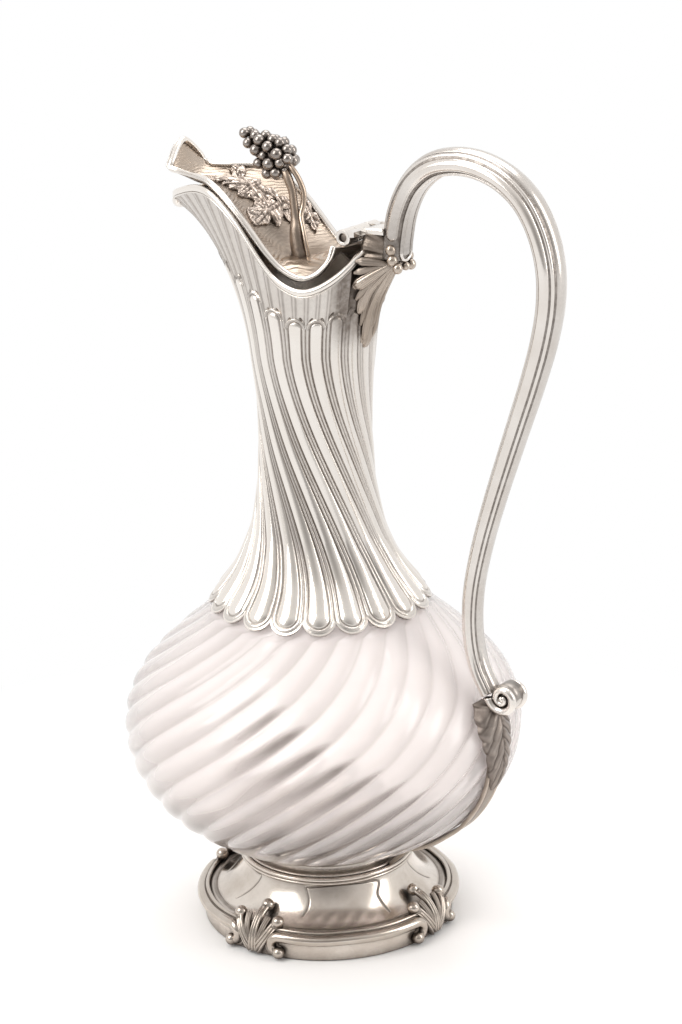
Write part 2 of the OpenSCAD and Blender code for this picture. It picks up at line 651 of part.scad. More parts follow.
// Fan of reeds with ball ends at a corner of the foot, between two panels. One reed:
// an arc that rises from the foot's edge, bends in over the dome and leans to one side
reed_d = 3.4;
reed_ball_d = 4.6;
reed_foot = 1.9; // height of the middle of a reed's lower end
module reed(arc_r, from, to, lean, turn) {
    rotate([0, 0, turn]) translate([foot_r + 1.4 - arc_r, 0, reed_foot + arc_r * sin(-from) * cos(lean)])
        rotate([90 - lean, 0, 0]) {
            rotate([0, 0, from]) rotate_extrude(angle = to - from, $fn = 64)
                translate([arc_r, 0]) circle(d = reed_d, $fn = 32);
            translate([arc_r * cos(to), arc_r * sin(to)]) sphere(d = reed_ball_d, $fn = 32);
        }
}
module reed_cluster(turn) {
    rotate([0, 0, foot_turn + turn]) {
        reed(11.6, -10, 78, 0, 0);
        for (side = [-1, 1]) {
            reed(12.4, -20, 44, 34 * side, 4.2 * side);
        }
    }
}
module reed_cluster_handle() color(silver) reed_cluster(0);
module reed_cluster_back() color(silver) reed_cluster(90);
module reed_cluster_spout() color(silver) reed_cluster(180);
module reed_cluster_front() color(silver) reed_cluster(270);

glass_body();
neck_bedding();
neck_mount();
mouth_rim();
handle_bracket();
bracket_shelf();
bracket_beads();
hinge_knuckles();
hinge_pin();
handle();
handle_volute();
lower_leaf();
bulb_strap();
glass_seat();
seat_bedding();
foot_collar();
foot_dome();
foot_wall();
foot_scroll_front();
foot_scroll_left();
foot_scroll_back();
foot_scroll_right();
reed_cluster_handle();
reed_cluster_front();
reed_cluster_spout();
reed_cluster_back();
lid_shell();
lid_rim();
lid_knuckle();
lid_hinge_plate();
vine_stem();
grape_cluster();
vine_leaf_large();
vine_leaf_small();
vine_leaf_far();
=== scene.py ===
import math

import bpy
import numpy as np
from mathutils import Matrix, Vector

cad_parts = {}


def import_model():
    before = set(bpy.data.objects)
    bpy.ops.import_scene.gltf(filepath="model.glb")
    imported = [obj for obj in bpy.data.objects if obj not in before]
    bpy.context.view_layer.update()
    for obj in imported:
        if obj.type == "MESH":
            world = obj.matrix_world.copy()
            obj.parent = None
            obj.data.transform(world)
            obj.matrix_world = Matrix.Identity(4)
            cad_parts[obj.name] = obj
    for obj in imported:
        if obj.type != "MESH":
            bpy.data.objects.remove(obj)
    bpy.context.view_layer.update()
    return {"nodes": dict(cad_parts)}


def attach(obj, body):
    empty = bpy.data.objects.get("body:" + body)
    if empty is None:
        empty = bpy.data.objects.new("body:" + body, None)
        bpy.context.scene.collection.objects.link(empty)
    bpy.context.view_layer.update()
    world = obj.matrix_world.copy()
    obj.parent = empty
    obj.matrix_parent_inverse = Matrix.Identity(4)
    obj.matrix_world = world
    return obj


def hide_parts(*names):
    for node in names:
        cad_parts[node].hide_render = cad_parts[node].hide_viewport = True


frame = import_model()
BASE, LID = "vessel", "lid"


# ------------------------------------------------------------------ helpers
def ease(t):
    t = np.clip(t, 0.0, 1.0)
    return t * t * (3 - 2 * t)


def mix(a, b, t):
    return a + (b - a) * t


def at(pts, x):
    """Height at x of the smooth curve through (x, y) pairs, as in the part's source."""
    pts = np.asarray(pts, float)
    xs, ys = pts[:, 0], pts[:, 1]
    n = len(xs)
    x = np.asarray(x, float)
    i = np.clip(np.searchsorted(xs, x, side="left") - 1, 0, n - 2)
    lo, hi = np.maximum(np.arange(n) - 1, 0), np.minimum(np.arange(n) + 1, n - 1)
    m = (ys[hi] - ys[lo]) / (xs[hi] - xs[lo])
    w = xs[i + 1] - xs[i]
    t = np.clip((x - xs[i]) / w, 0, 1)
    return ((2 * t ** 3 - 3 * t ** 2 + 1) * ys[i] + (t ** 3 - 2 * t ** 2 + t) * m[i] * w
            + (3 * t ** 2 - 2 * t ** 3) * ys[i + 1] + (t ** 3 - t ** 2) * m[i + 1] * w)


def along(pts, u):
    """Catmull-Rom curve through pts, with u counting points."""
    pts = np.asarray(pts, float)
    n = len(pts)
    u = np.atleast_1d(np.asarray(u, float))
    i = np.clip(np.floor(u).astype(int), 0, n - 2)
    t = (u - i)[:, None]
    a, b, c, d = pts[np.maximum(i - 1, 0)], pts[i], pts[i + 1], pts[np.minimum(i + 2, n - 1)]
    return 0.5 * (2 * b + (c - a) * t + (2 * a - 5 * b + 4 * c - d) * t ** 2
                  + (3 * b - a - 3 * c + d) * t ** 3)


def resample(pts, n, closed=False):
    """n points at even spacing along the smooth curve through pts."""
    pts = np.asarray(pts, float)
    if closed:
        pts = np.vstack([pts, pts[:1]])
    dense = along(pts, np.linspace(0, len(pts) - 1, 40 * len(pts)))
    s = np.concatenate([[0], np.cumsum(np.linalg.norm(np.diff(dense, axis=0), axis=1))])
    q = np.linspace(0, s[-1], n + 1)[:-1] if closed else np.linspace(0, s[-1], n)
    return np.stack([np.interp(q, s, dense[:, k]) for k in range(dense.shape[1])], 1)


def unit(v):
    v = np.asarray(v, float)
    return v / np.maximum(np.linalg.norm(v, axis=-1, keepdims=True), 1e-9)


def turns(n):
    """n angles evenly round a circle, in radians."""
    return np.linspace(0, 2 * math.pi, n, endpoint=False)


def polar(r, a, z):
    """Points at radius r, angle a in radians and height z, which broadcast together."""
    return np.stack(np.broadcast_arrays(r * np.cos(a), r * np.sin(a), z), -1)


def bell(x, centre, width):
    """1 at the centre, falling off on both sides."""
    return np.exp(-((x - centre) / width) ** 2)


def near(x, centre, width):
    """1 at the centre, falling in straight lines to 0 at width on both sides."""
    return np.clip(1 - np.abs(x - centre) / width, 0, 1)


def oval(a, b, n, pa=1.0, pb=1.0):
    """n points round an oval of half axes a and b; powers below 1 make it fuller."""
    c, s = np.cos(turns(n)), np.sin(turns(n))
    return np.stack([a * np.sign(c) * np.abs(c) ** pa, b * np.sign(s) * np.abs(s) ** pb], 1)


def circle(r, n):
    return oval(r, r, n)


def frames_of(path, hint=(0, 0, 1)):
    """Side and up along a path, with up as near to hint as it can be."""
    t = unit(np.gradient(np.asarray(path, float), axis=0))
    side = unit(np.cross(t, np.broadcast_to(np.asarray(hint, float), t.shape)))
    return side, np.cross(side, t)


def grid_faces(rows, cols, wrap, flip, start):
    """Quads of a grid of rows x cols points; wrap joins the last column to the first."""
    r = np.arange(rows - 1)[:, None]
    c = np.arange(cols if wrap else cols - 1)[None, :]
    c2 = (c + 1) % cols
    q = np.stack([r * cols + c, r * cols + c2, (r + 1) * cols + c2, (r + 1) * cols + c], -1)
    q = q.reshape(-1, 4) + start
    return q[:, ::-1] if flip else q


class Build:
    """Collects grids and caps into one mesh."""

    def __init__(self):
        self.v, self.f, self.o, self.n = [], [], [], 0

    def grid(self, pts, wrap=True, flip=False, oxide_and_shade=0.0, cap0=False, cap1=False):
        """pts has the shape rows x cols x 3."""
        pts = np.asarray(pts, float)
        rows, cols = pts.shape[:2]
        self.f.append(grid_faces(rows, cols, wrap, flip, self.n))
        self.v.append(pts.reshape(-1, 3))
        self.o.append(np.broadcast_to(oxide_and_shade, (rows, cols)).ravel())
        first = list(range(self.n, self.n + cols))
        last = list(range(self.n + (rows - 1) * cols, self.n + rows * cols))
        if cap0:
            self.f.append([first if flip else first[::-1]])
        if cap1:
            self.f.append([last[::-1] if flip else last])
        self.n += rows * cols

    def solid(self, pts, oxide_and_shade=0.0, flip=False):
        """Grid whose rows are rings, with a cap on its first and its last."""
        self.grid(pts, True, flip, oxide_and_shade, True, True)

    def sweep(self, path, side, up, section, scale=1.0, oxide_and_shade=0.0, ends=(0, 0), closed=False):
        """Section points (a, b) carried along path, a on side and b on up; ends round the tips."""
        path, side, up, sec = (np.asarray(q, float) for q in (path, side, up, section))
        sec = sec[..., ::-1, :]
        scale = np.broadcast_to(scale, len(path))[:, None, None]
        pts = path[:, None] + scale * (sec[..., :1] * side[:, None] + sec[..., 1:] * up[:, None])
        oxide_and_shade = np.broadcast_to(oxide_and_shade, pts.shape[:2])
        if closed:
            self.grid(np.concatenate([pts, pts[:1]]), oxide_and_shade=np.concatenate([oxide_and_shade, oxide_and_shade[:1]]))
            return
        a = np.linspace(0, math.pi / 2, 7)[1:, None, None]
        for end, size in zip((0, -1), ends):
            if size <= 0:
                continue
            ahead = path[0] - path[1] if end == 0 else path[-1] - path[-2]
            tip = (path[end] + (pts[end] - path[end]) * np.maximum(np.cos(a), 0.02)
                   + unit(ahead) * size * np.sin(a))
            pad = np.repeat(oxide_and_shade[end][None], len(tip), 0)
            if end == 0:
                pts, oxide_and_shade = np.concatenate([tip[::-1], pts]), np.concatenate([pad, oxide_and_shade])
            else:
                pts, oxide_and_shade = np.concatenate([pts, tip]), np.concatenate([oxide_and_shade, pad])
        self.solid(pts, oxide_and_shade)

    def ball(self, centre, radius, rings=14, seg=20, squash=(1, 1, 1), oxide_and_shade=0.0):
        pole = 0.03                                   # angle left open round each pole
        th = np.linspace(pole, math.pi - pole, rings)[:, None]
        p = polar(np.sin(th), turns(seg), np.cos(th))
        self.solid(np.asarray(centre) + radius * p * np.asarray(squash), oxide_and_shade, True)

    def piece(self, name, material, replaces, body=BASE, angle=None):
        """Makes the mesh from the points, which are in millimetres; their dark share is oxide on
        most pieces and painted shade on some.
        """
        quads = [f for f in self.f if isinstance(f, np.ndarray)]
        caps = [face for f in self.f if isinstance(f, list) for face in f]
        loops = np.concatenate([q.ravel() for q in quads] + [np.array(f) for f in caps])
        sizes = np.array([4] * sum(len(q) for q in quads) + [len(f) for f in caps])
        starts = np.concatenate([[0], np.cumsum(sizes)[:-1]])
        me = bpy.data.meshes.new(name)
        me.vertices.add(self.n)
        co = np.concatenate(self.v) / 1000.0
        me.vertices.foreach_set("co", co.astype(np.float32).ravel())
        me.loops.add(len(loops))
        me.loops.foreach_set("vertex_index", loops.astype(np.int32))
        me.polygons.add(len(sizes))
        me.polygons.foreach_set("loop_start", starts.astype(np.int32))
        me.update(calc_edges=True)
        me.validate()
        me.polygons.foreach_set("use_smooth", np.ones(len(me.polygons), bool))
        layer = me.attributes.new("oxide_and_shade", "FLOAT", "POINT")
        oxide_and_shade = np.clip(np.concatenate(self.o), 0, 1)
        layer.data.foreach_set("value", oxide_and_shade.astype(np.float32))
        ob = bpy.data.objects.new(name, me)
        bpy.context.scene.collection.objects.link(ob)
        if angle is not None:
            with bpy.context.temp_override(object=ob, active_object=ob, selected_objects=[ob],
                                           selected_editable_objects=[ob]):
                bpy.ops.object.shade_smooth_by_angle(angle=math.radians(angle))
        me.materials.append(material)
        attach(ob, body)
        if replaces:
            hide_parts(*replaces)


def bar(b, pts, radii, n, seg, oxide_and_shade):
    """Round bar along a smooth curve, with radii given at even places along it."""
    path = resample(pts, n)
    side, up = frames_of(path, (0.02, 1, 0.03))
    r = at(np.stack([np.linspace(0, 1, len(radii)), radii], 1), np.linspace(0, 1, n))
    b.sweep(path, side, up, circle(1, seg)[::-1], r, oxide_and_shade, (r[0] * 0.9, r[-1] * 0.9))


# ------------------------------------------------------------------ materials
def new_material(name):
    m = bpy.data.materials.new(name)
    m.use_nodes = True
    nt = m.node_tree
    nt.nodes.clear()
    out = nt.nodes.new("ShaderNodeOutputMaterial")
    return m, nt, out


def node(nt, kind, **values):
    nd = nt.nodes.new(kind)
    for k, v in values.items():
        if k in nd.inputs.keys():
            nd.inputs[k].default_value = v
        else:
            setattr(nd, k, v)
    return nd


def ramp(nt, fac, stops):
    r = nt.nodes.new("ShaderNodeValToRGB")
    e = r.color_ramp.elements
    while len(e) < len(stops):
        e.new(0.5)
    for k, (p, c) in enumerate(stops):
        e[k].position = p
        e[k].color = (c, c, c, 1) if not isinstance(c, tuple) else (*c, 1)
    nt.links.new(fac, r.inputs["Fac"])
    return r.outputs["Color"]


def maths(nt, op, a, b, clamp=False):
    m = nt.nodes.new("ShaderNodeMath")
    m.operation = op
    m.use_clamp = clamp
    for k, v in enumerate((a, b)):
        if isinstance(v, (int, float)):
            m.inputs[k].default_value = v
        else:
            nt.links.new(v, m.inputs[k])
    return m.outputs[0]

def source(nt, kind, output):
    return nt.nodes.new("ShaderNode" + kind).outputs[output]


def ray(nt, kind):
    return source(nt, "LightPath", f"Is {kind} Ray")


def noise(nt, co, **values):
    nd = node(nt, "ShaderNodeTexNoise", **values)
    nt.links.new(co, nd.inputs["Vector"])
    return nd.outputs["Fac"]


def oxide_and_shade_of(nt):
    return node(nt, "ShaderNodeAttribute", attribute_name="oxide_and_shade").outputs["Fac"]


def bumped(nt, bsdf, height, strength, distance):
    bump = node(nt, "ShaderNodeBump", Strength=strength, Distance=distance)
    nt.links.new(height, bump.inputs["Height"])
    nt.links.new(bump.outputs[0], bsdf.inputs["Normal"])


def mix_colour(nt, fac, a, b):
    """Colour a where fac is 0 and b where it is 1; each is a tuple or a socket."""
    nd = node(nt, "ShaderNodeMix", data_type="RGBA")
    nt.links.new(fac, nd.inputs["Factor"])
    for socket, value in zip(nd.inputs[6:8], (a, b)):
        if isinstance(value, tuple):
            socket.default_value = (*value, 1)
        else:
            nt.links.new(value, socket)
    return nd.outputs[2]


def mix_shader(nt, fac, a, b):
    """Shader a where fac is 0 and b where it is 1."""
    nd = nt.nodes.new("ShaderNodeMixShader")
    for socket, value in zip(nd.inputs, (fac, a, b)):
        nt.links.new(value, socket)
    return nd.outputs[0]


def silver(name, clean=(0.9, 0.85, 0.795), tint=(0.74, 0.66, 0.58), oxide_and_shade_colour=(0.085, 0.066, 0.055),
           rough=0.16, reach=0.0022, depth=0.8, patina=0.25, engraved=0.0, scratch=0.04):
    """Polished silver that turns to a dark colour in its recesses and where the mesh says so:
    oxide, and painted shade where the reach is long and on pieces whose mesh carries painted shade.
    """
    m, nt, out = new_material(name)
    L = nt.links.new
    bsdf = node(nt, "ShaderNodeBsdfPrincipled", Metallic=1.0)
    L(bsdf.outputs[0], out.inputs[0])
    co = source(nt, "TexCoord", "Object")
    cloud = noise(nt, co, Scale=55.0, Detail=5.0, Roughness=0.6)
    fine = noise(nt, co, Scale=700.0, Detail=3.0, Roughness=0.6)
    # ambient occlusion darkens the colour in hollows: oxide, and with the long reaches of the lid,
    # foot, scroll and grape metals also painted shade round raised parts
    ao = node(nt, "ShaderNodeAmbientOcclusion", samples=6, only_local=False, Distance=reach)
    recess = maths(nt, "MULTIPLY", ramp(nt, ao.outputs["AO"], [(0.35, 1.0), (0.86, 0.0)]), depth)
    marked = maths(nt, "MULTIPLY", oxide_and_shade_of(nt), 0.9)
    wear = ramp(nt, fine, [(0.3, 0.75), (0.7, 1.0)])
    dark = maths(nt, "MULTIPLY", maths(nt, "MAXIMUM", recess, marked), wear, True)
    film = maths(nt, "MULTIPLY", ramp(nt, cloud, [(0.4, 0.0), (0.72, 1.0)]), patina)
    L(mix_colour(nt, dark, mix_colour(nt, film, clean, tint), oxide_and_shade_colour), bsdf.inputs["Base Color"])
    dull = maths(nt, "ADD", maths(nt, "MULTIPLY", dark, 0.35), maths(nt, "MULTIPLY", film, 0.12))
    L(maths(nt, "ADD", dull, rough), bsdf.inputs["Roughness"])
    height = maths(nt, "MULTIPLY", fine, scratch)
    if engraved > 0:
        wave = node(nt, "ShaderNodeTexWave", Scale=330.0, Distortion=9.0, Detail=2.0,
                    wave_type="RINGS", rings_direction="X")
        wave.inputs["Detail Scale"].default_value = 0.35
        L(co, wave.inputs["Vector"])
        height = maths(nt, "ADD", height, maths(nt, "MULTIPLY", wave.outputs["Fac"], engraved))
    bumped(nt, bsdf, height, 0.5, 0.0004)
    return m


SILVER = silver("silver_polished")
MOUNT = silver("silver_neck", oxide_and_shade_colour=(0.1, 0.068, 0.05), reach=0.0012, depth=0.5)
CHASED = silver("silver_chased", clean=(0.66, 0.585, 0.52), tint=(0.44, 0.37, 0.31), rough=0.24,
                reach=0.0035, depth=1.0, patina=0.6, scratch=0.5)
LIDM = silver("silver_lid", clean=(0.52, 0.435, 0.36), tint=(0.36, 0.285, 0.22), rough=0.26,
              reach=0.006, depth=0.75, patina=0.75, engraved=0.6)
GRAPE = silver("silver_grapes", clean=(0.4, 0.36, 0.33), tint=(0.19, 0.16, 0.14), rough=0.13,
               reach=0.0065, depth=1.0, patina=0.6)
SILVERWARM = silver("silver_warm", clean=(0.6, 0.49, 0.395), tint=(0.4, 0.28, 0.2), rough=0.18,
                    reach=0.003, depth=0.9, patina=0.5)
FOOT = silver("silver_foot", clean=(0.76, 0.695, 0.63), tint=(0.44, 0.365, 0.3), rough=0.15,
              reach=0.006, depth=1.0, patina=0.6)
SCROLL = silver("silver_scroll", clean=(0.6, 0.54, 0.48), tint=(0.4, 0.33, 0.27), rough=0.15,
                reach=0.0065, depth=1.0, patina=0.55)
HANDLE = silver("silver_handle", clean=(0.87, 0.82, 0.77), tint=(0.6, 0.52, 0.45), rough=0.14,
                reach=0.0045, depth=1.0, patina=0.35)
ACANTHUS = silver("silver_acanthus", clean=(0.38, 0.33, 0.295), tint=(0.21, 0.17, 0.145), rough=0.3,
                  reach=0.0035, depth=1.0, patina=0.6, scratch=0.5)
SHELL = silver("silver_bracket", clean=(0.56, 0.48, 0.41), tint=(0.33, 0.265, 0.21), rough=0.22,
               reach=0.0035, depth=1.0, patina=0.65, scratch=0.3)
LEAF = silver("silver_leaf", clean=(0.74, 0.635, 0.555), tint=(0.42, 0.33, 0.27), rough=0.24,
              reach=0.0045, depth=1.0, patina=0.65, scratch=0.6)


def glass_material():
    """Clear cut glass against a white room: soft inside, sharp highlights on its surface, and
    painted shade in its colour from the mesh and at the outline.
    """
    m, nt, out = new_material("glass_clear")
    L = nt.links.new
    bsdf = node(nt, "ShaderNodeBsdfPrincipled", Roughness=0.16, IOR=1.3)
    for socket, value in (("Transmission Weight", 0.66), ("Coat Weight", 0.45),
                          ("Coat Roughness", 0.03)):
        bsdf.inputs[socket].default_value = value
    cloud = noise(nt, source(nt, "TexCoord", "Object"), Scale=26.0, Detail=3.0)
    # painted shade of the flutes, carried by the mesh and broken up by noise
    soft = maths(nt, "MULTIPLY", oxide_and_shade_of(nt), ramp(nt, cloud, [(0.3, 0.75), (0.7, 1.0)]))
    # painted shade at the outline, where thicker glass is looked through
    edge = maths(nt, "POWER", node(nt, "ShaderNodeLayerWeight", Blend=0.35).outputs["Facing"], 3.0)
    soft = maths(nt, "ADD", soft, maths(nt, "MULTIPLY", edge, 0.3), True)
    shades = [(0.0, (0.92, 0.882, 0.872)), (0.3, (0.56, 0.52, 0.5)), (1.0, (0.12, 0.1, 0.088))]
    L(ramp(nt, soft, shades), bsdf.inputs["Base Color"])
    bumped(nt, bsdf, cloud, 0.06, 0.001)
    # shadow rays pass through with a slight tint, so the far side stays light
    clear = node(nt, "ShaderNodeBsdfTransparent", Color=(0.93, 0.92, 0.915, 1))
    L(mix_shader(nt, ray(nt, "Shadow"), bsdf.outputs[0], clear.outputs[0]), out.inputs[0])
    return m


GLASS = glass_material()


def plaster_material():
    m, nt, out = new_material("plaster")
    L = nt.links.new
    bsdf = node(nt, "ShaderNodeBsdfPrincipled", Roughness=0.85)
    grain = noise(nt, source(nt, "TexCoord", "Object"), Scale=300.0, Detail=4.0)
    shades = [(0.3, (0.72, 0.68, 0.6)), (0.7, (0.82, 0.79, 0.72))]
    L(ramp(nt, grain, shades), bsdf.inputs["Base Color"])
    L(bsdf.outputs[0], out.inputs[0])
    return m


PLASTER = plaster_material()

for name, ob in frame["nodes"].items():
    mat = {"glass_body": GLASS, "neck_bedding": PLASTER, "seat_bedding": PLASTER}.get(name, SILVER)
    ob.data.materials.clear()
    ob.data.materials.append(mat)

# ------------------------------------------------------------------ profiles, as in the part
GLASS_PROFILE = [(31, 30), (33.2, 37), (36.6, 45.4), (40.8, 52), (48, 60.7), (58, 67.8), (68, 71.6),
                 (78, 72.5), (88, 70.3), (98, 64.2), (108, 54), (116, 44.5), (121.5, 38.6)]
NECK_PROFILE = [(121.5, 40.4), (127.6, 34.9), (135, 29.6), (142.6, 25.9), (150, 23.3),
                (165, 20.7), (180, 19.8), (195, 19.9), (215, 21.8)]
MOUTH_HEIGHTS = [(-56, 260.5), (-52, 263.5), (-45, 266), (-40, 267.4), (-35, 268.2), (-30, 267.8),
                 (-25, 265.8), (-20, 262.4), (-15, 258), (-10, 252.2), (-5, 246.4), (0, 241.5),
                 (5, 238.4), (10, 237), (15, 237.8), (20, 240.8), (24, 245.2), (27, 251)]
RIM = 2.4
NECK_LOW, NECK_HIGH, NECK_TWIST, TWIST_LOW, TWIST_HIGH = 121.5, 215.0, 69, 130, 218
FLUTES, FLUTE_PHASE = 20, 1.5
GLASS_LOW, GLASS_TWIST, GLASS_RIBS = 31.0, 105, 28
SPOUT_X, BACK_X, RIM_LAG = -56, 27, 14
HINGE_X, HINGE_Z = 20.5, 256


def neck_turn(z):
    return NECK_TWIST * ease((TWIST_HIGH - z) / (TWIST_HIGH - TWIST_LOW))


def mouth_xy(s):
    """Plan of the mouth at s degrees from the hinge."""
    c, sn = np.cos(np.radians(s)), np.sin(np.radians(s))
    x = mix(SPOUT_X, BACK_X, (1 + c) / 2)
    y = sn * (21.6 + np.where(c > 0, 4.5 * c + 7 * c * c, 2.5 * c))
    return x, y


def mouth_out(x, y):
    """Level direction out of the mouth at a point of its plan."""
    return unit(np.stack([x + 14, y * 1.6, 0 * x], -1))


def mouth_point(s, inward=0.0, up=0.0):
    x, y = mouth_xy(s)
    rim = np.stack([x, y, at(MOUTH_HEIGHTS, x) + up], -1)
    return rim - np.asarray(inward)[..., None] * mouth_out(x, y)


def collar(a, u):
    """Point of the smooth collar at column angle a (degrees) and share u of its height."""
    a, u = np.broadcast_arrays(np.asarray(a, float), np.asarray(u, float))
    r = at(NECK_PROFILE, NECK_HIGH)
    b = np.radians(a + neck_turn(NECK_HIGH))
    base = polar(r, b, NECK_HIGH)
    rim = mouth_point(a - RIM_LAG * np.sin(np.radians(a)))
    rise = (rim[..., 2] - NECK_HIGH)[..., None]
    lean = rim - base
    lean[..., 2] = 0
    spout = (np.maximum(0, -np.cos(np.radians(a))) ** 2)[..., None]
    zed = np.array([0, 0, 1.0])
    out = unit(base * np.array([1, 1, 0]))
    p1 = base + 0.065 * spout * lean + rise * 0.43 * zed + 0.04 * rise * out
    p2 = rim - mix(0.42, 0.53, spout) * lean - rise * mix(0.42, 0.19, spout) * zed
    u = u[..., None]
    s = 1 - u
    return s ** 3 * base + 3 * s * s * u * p1 + 3 * s * u * u * p2 + u ** 3 * rim


# ------------------------------------------------------------------ neck mount
def neck_mount():
    per = 36                                          # columns to a flute
    cols = FLUTES * per
    t = (np.arange(cols) % per) / per - 0.5          # place across a flute, 0 on its panel
    alpha = (np.arange(cols) / per - 0.5) * 360 / FLUTES + FLUTE_PHASE
    # meridian length of the round part of the neck
    zz = np.linspace(NECK_LOW - 0.5, NECK_HIGH, 1600)
    rr = at(NECK_PROFILE, np.maximum(zz, NECK_LOW)) + np.maximum(0, NECK_LOW - zz)
    ww = np.concatenate([[0], np.cumsum(np.hypot(np.diff(zz), np.diff(rr)))])
    ww -= np.interp(NECK_LOW, zz, ww)
    pitch_low = 2 * math.pi * NECK_PROFILE[0][1] / FLUTES
    half_low = 0.33 * pitch_low
    edge_r = half_low + 2.5
    x_low = t * pitch_low
    w_edge = edge_r - np.sqrt(np.maximum(edge_r ** 2 - x_low ** 2, 0)) - 0.05
    w_top = ww[-1]
    # rows: close together over the lobes, wider above
    k = np.concatenate([np.linspace(0, 0.115, 40)[:-1], np.linspace(0.115, 1, 84)])
    w = w_edge[None, :] + (w_top - w_edge[None, :]) * k[:, None]
    z = np.interp(w, ww, zz)
    r = np.interp(w, ww, rr)
    lower = polar(r, np.radians(alpha[None, :] + neck_turn(z)), z)
    upper = collar(alpha[None, :], np.linspace(0, 1, 112)[1:, None])
    base = np.concatenate([lower, upper])
    rows = len(base)
    # normals of the smooth body
    da = np.roll(base, -1, 1) - np.roll(base, 1, 1)
    dw = np.gradient(base, axis=0)
    nrm = unit(np.cross(da, dw))
    nrm *= np.where((nrm[..., :2] * base[..., :2]).sum(-1, keepdims=True) < 0, -1, 1)
    # length up each column, from the foot of the collar
    step = np.linalg.norm(np.diff(base, axis=0), axis=2)
    length = np.concatenate([np.zeros((1, cols)), np.cumsum(step, 0)])
    zrow = len(lower) - 1
    up_len = length - length[zrow]
    wfull = np.concatenate([w, w_top + up_len[zrow + 1:]])
    # local width of one flute
    pitch = np.linalg.norm(np.cross(da, unit(dw)), axis=2) * per / 2
    x = np.abs(t)[None, :] * pitch
    share = np.interp(wfull, [0, 10, 30, 90, 200], [0.33, 0.33, 0.30, 0.29, 0.285])
    half = share * pitch
    # distance outside a panel's edge, whose lower end is round
    wc = edge_r
    d = np.where(wfull < wc, np.hypot(x, wfull - wc), x) - half
    # arched upper end, at a height that depends on the side
    arch = [(0, 231), (30, 229.5), (58, 227.3), (75, 228.2), (90, 230.8), (108, 235.8), (130, 241),
            (155, 245), (180, 246)]
    top_len = np.zeros(cols)
    for m in range(FLUTES):
        columns = slice(m * per, (m + 1) * per)
        mid = m * per + per // 2
        ang = abs((alpha[mid] + 180) % 360 - 180)
        top_len[columns] = np.interp(at(arch, ang), base[zrow:, mid, 2], up_len[zrow:, mid])
    centre = top_len[None, :] - half
    above = up_len > centre
    d = np.where(above, np.hypot(x, up_len - centre) - half, d)
    band = 1.25                                       # width of the bands round the arches
    inside = d < 0
    e = np.clip(-d / np.maximum(half, 0.1), 0, 1)
    belly = np.interp(wfull, [0, 14, 40, 90, 200], [1.05, 1.0, 0.55, 0.4, 0.34])
    lim = np.where(above, band, np.minimum(pitch / 2 - half, 1.6))
    q = np.clip((d - 0.3) / np.maximum(lim - 0.3, 0.05), 0, 1)
    ridge = 0.34 * np.sqrt(np.maximum(0, 1 - (2 * q - 1) ** 2)) - 0.12
    flat = -0.06 + 0.34 * ease((q - 0.55) / 0.2) * np.clip((1 - q) * 8, 0, 1)
    outside = ~inside & (d < lim)
    h = np.where(inside, belly * (1 - (1 - e) ** 2.2) + 0.05,
                 np.where(outside, np.where(above, flat, ridge), 0)) - 0.42 * bell(d, 0.1, 0.18)
    # brown painted shade round the bracket, thinning out over the handle side, in place of the
    # darker reflections on that side, and heavier on the collar beside the bracket
    azim = np.degrees(np.arctan2(base[..., 1], base[..., 0]))
    patina = (0.16 * bell(azim, 0, 48)
              + 0.72 * ease((base[..., 2] - 214) / 14) * ease((46 - np.abs(azim)) / 16))
    # the bands between the panels keep a brown film, darker beside the lines
    lobes = ease((14 - wfull) / 10)
    film = np.where(above, 0.62 - 0.34 * ease((q - 0.5) / 0.25),
                    mix(0.30 + 0.42 * (2 * q - 1) ** 2, 0.26, lobes))
    oxide_and_shade = np.where(outside, film, 0.0)
    oxide_and_shade = np.maximum(oxide_and_shade, 0.95 * bell(d, 0.1, mix(0.23, 0.27, lobes)))
    # dark line between the two ridges, which opens to a wedge between the lobes
    mid_line = bell(x, pitch / 2, 0.20)
    wedge = bell(x, pitch / 2, 0.42) * np.clip((15 - wfull) / 9, 0, 1)
    line_on = ~above & (wfull >= wc - half_low * 0.35)
    h -= np.where(line_on, 0.32 * mid_line + 0.25 * wedge, 0)
    oxide_and_shade = np.maximum(oxide_and_shade, np.where(line_on, np.maximum(0.95 * mid_line, 0.75 * wedge), 0))
    # pleats above the arches
    pleat_on = above & (d >= band)
    wide = np.abs(np.abs(t) - 0.25)[None, :] / 0.25   # 0 on a pleat's middle, 1 on its ridges
    fade = np.clip((length[-1] - length) / 1.2, 0, 1)
    notch = ease(1.6 - 1.3 * np.hypot(wide * 0.25 * pitch / 0.78, (d - band - 0.1) / 0.85))
    lines = (0.30 + 0.42 * bell(wide, 0.72, 0.16)) * mix(0.6, 1.0, fade)
    h = np.where(pleat_on, (-0.5 * (1 - wide ** 2.4) - 0.08) * fade - 0.25 * notch, h)
    oxide_and_shade = np.where(pleat_on, np.maximum(lines, notch), oxide_and_shade)
    oxide_and_shade = np.maximum(oxide_and_shade, np.where(above, 0.75 * bell(d, band + 0.05, 0.17), 0))
    # thin lip round the lobes
    lip = (wfull < wc) & (d >= lim) & ~above
    h = np.where(lip, -0.28, h)
    oxide_and_shade = np.maximum(oxide_and_shade, np.where(wfull < wc + 2, 0.5 * bell(d, 1.75, 0.2), 0))
    # adds the painted shade round the bracket
    oxide_and_shade = np.maximum(oxide_and_shade, np.minimum(patina + 0.5 * oxide_and_shade, 0.95))
    outer = base + nrm * (h + 0.05)[..., None]
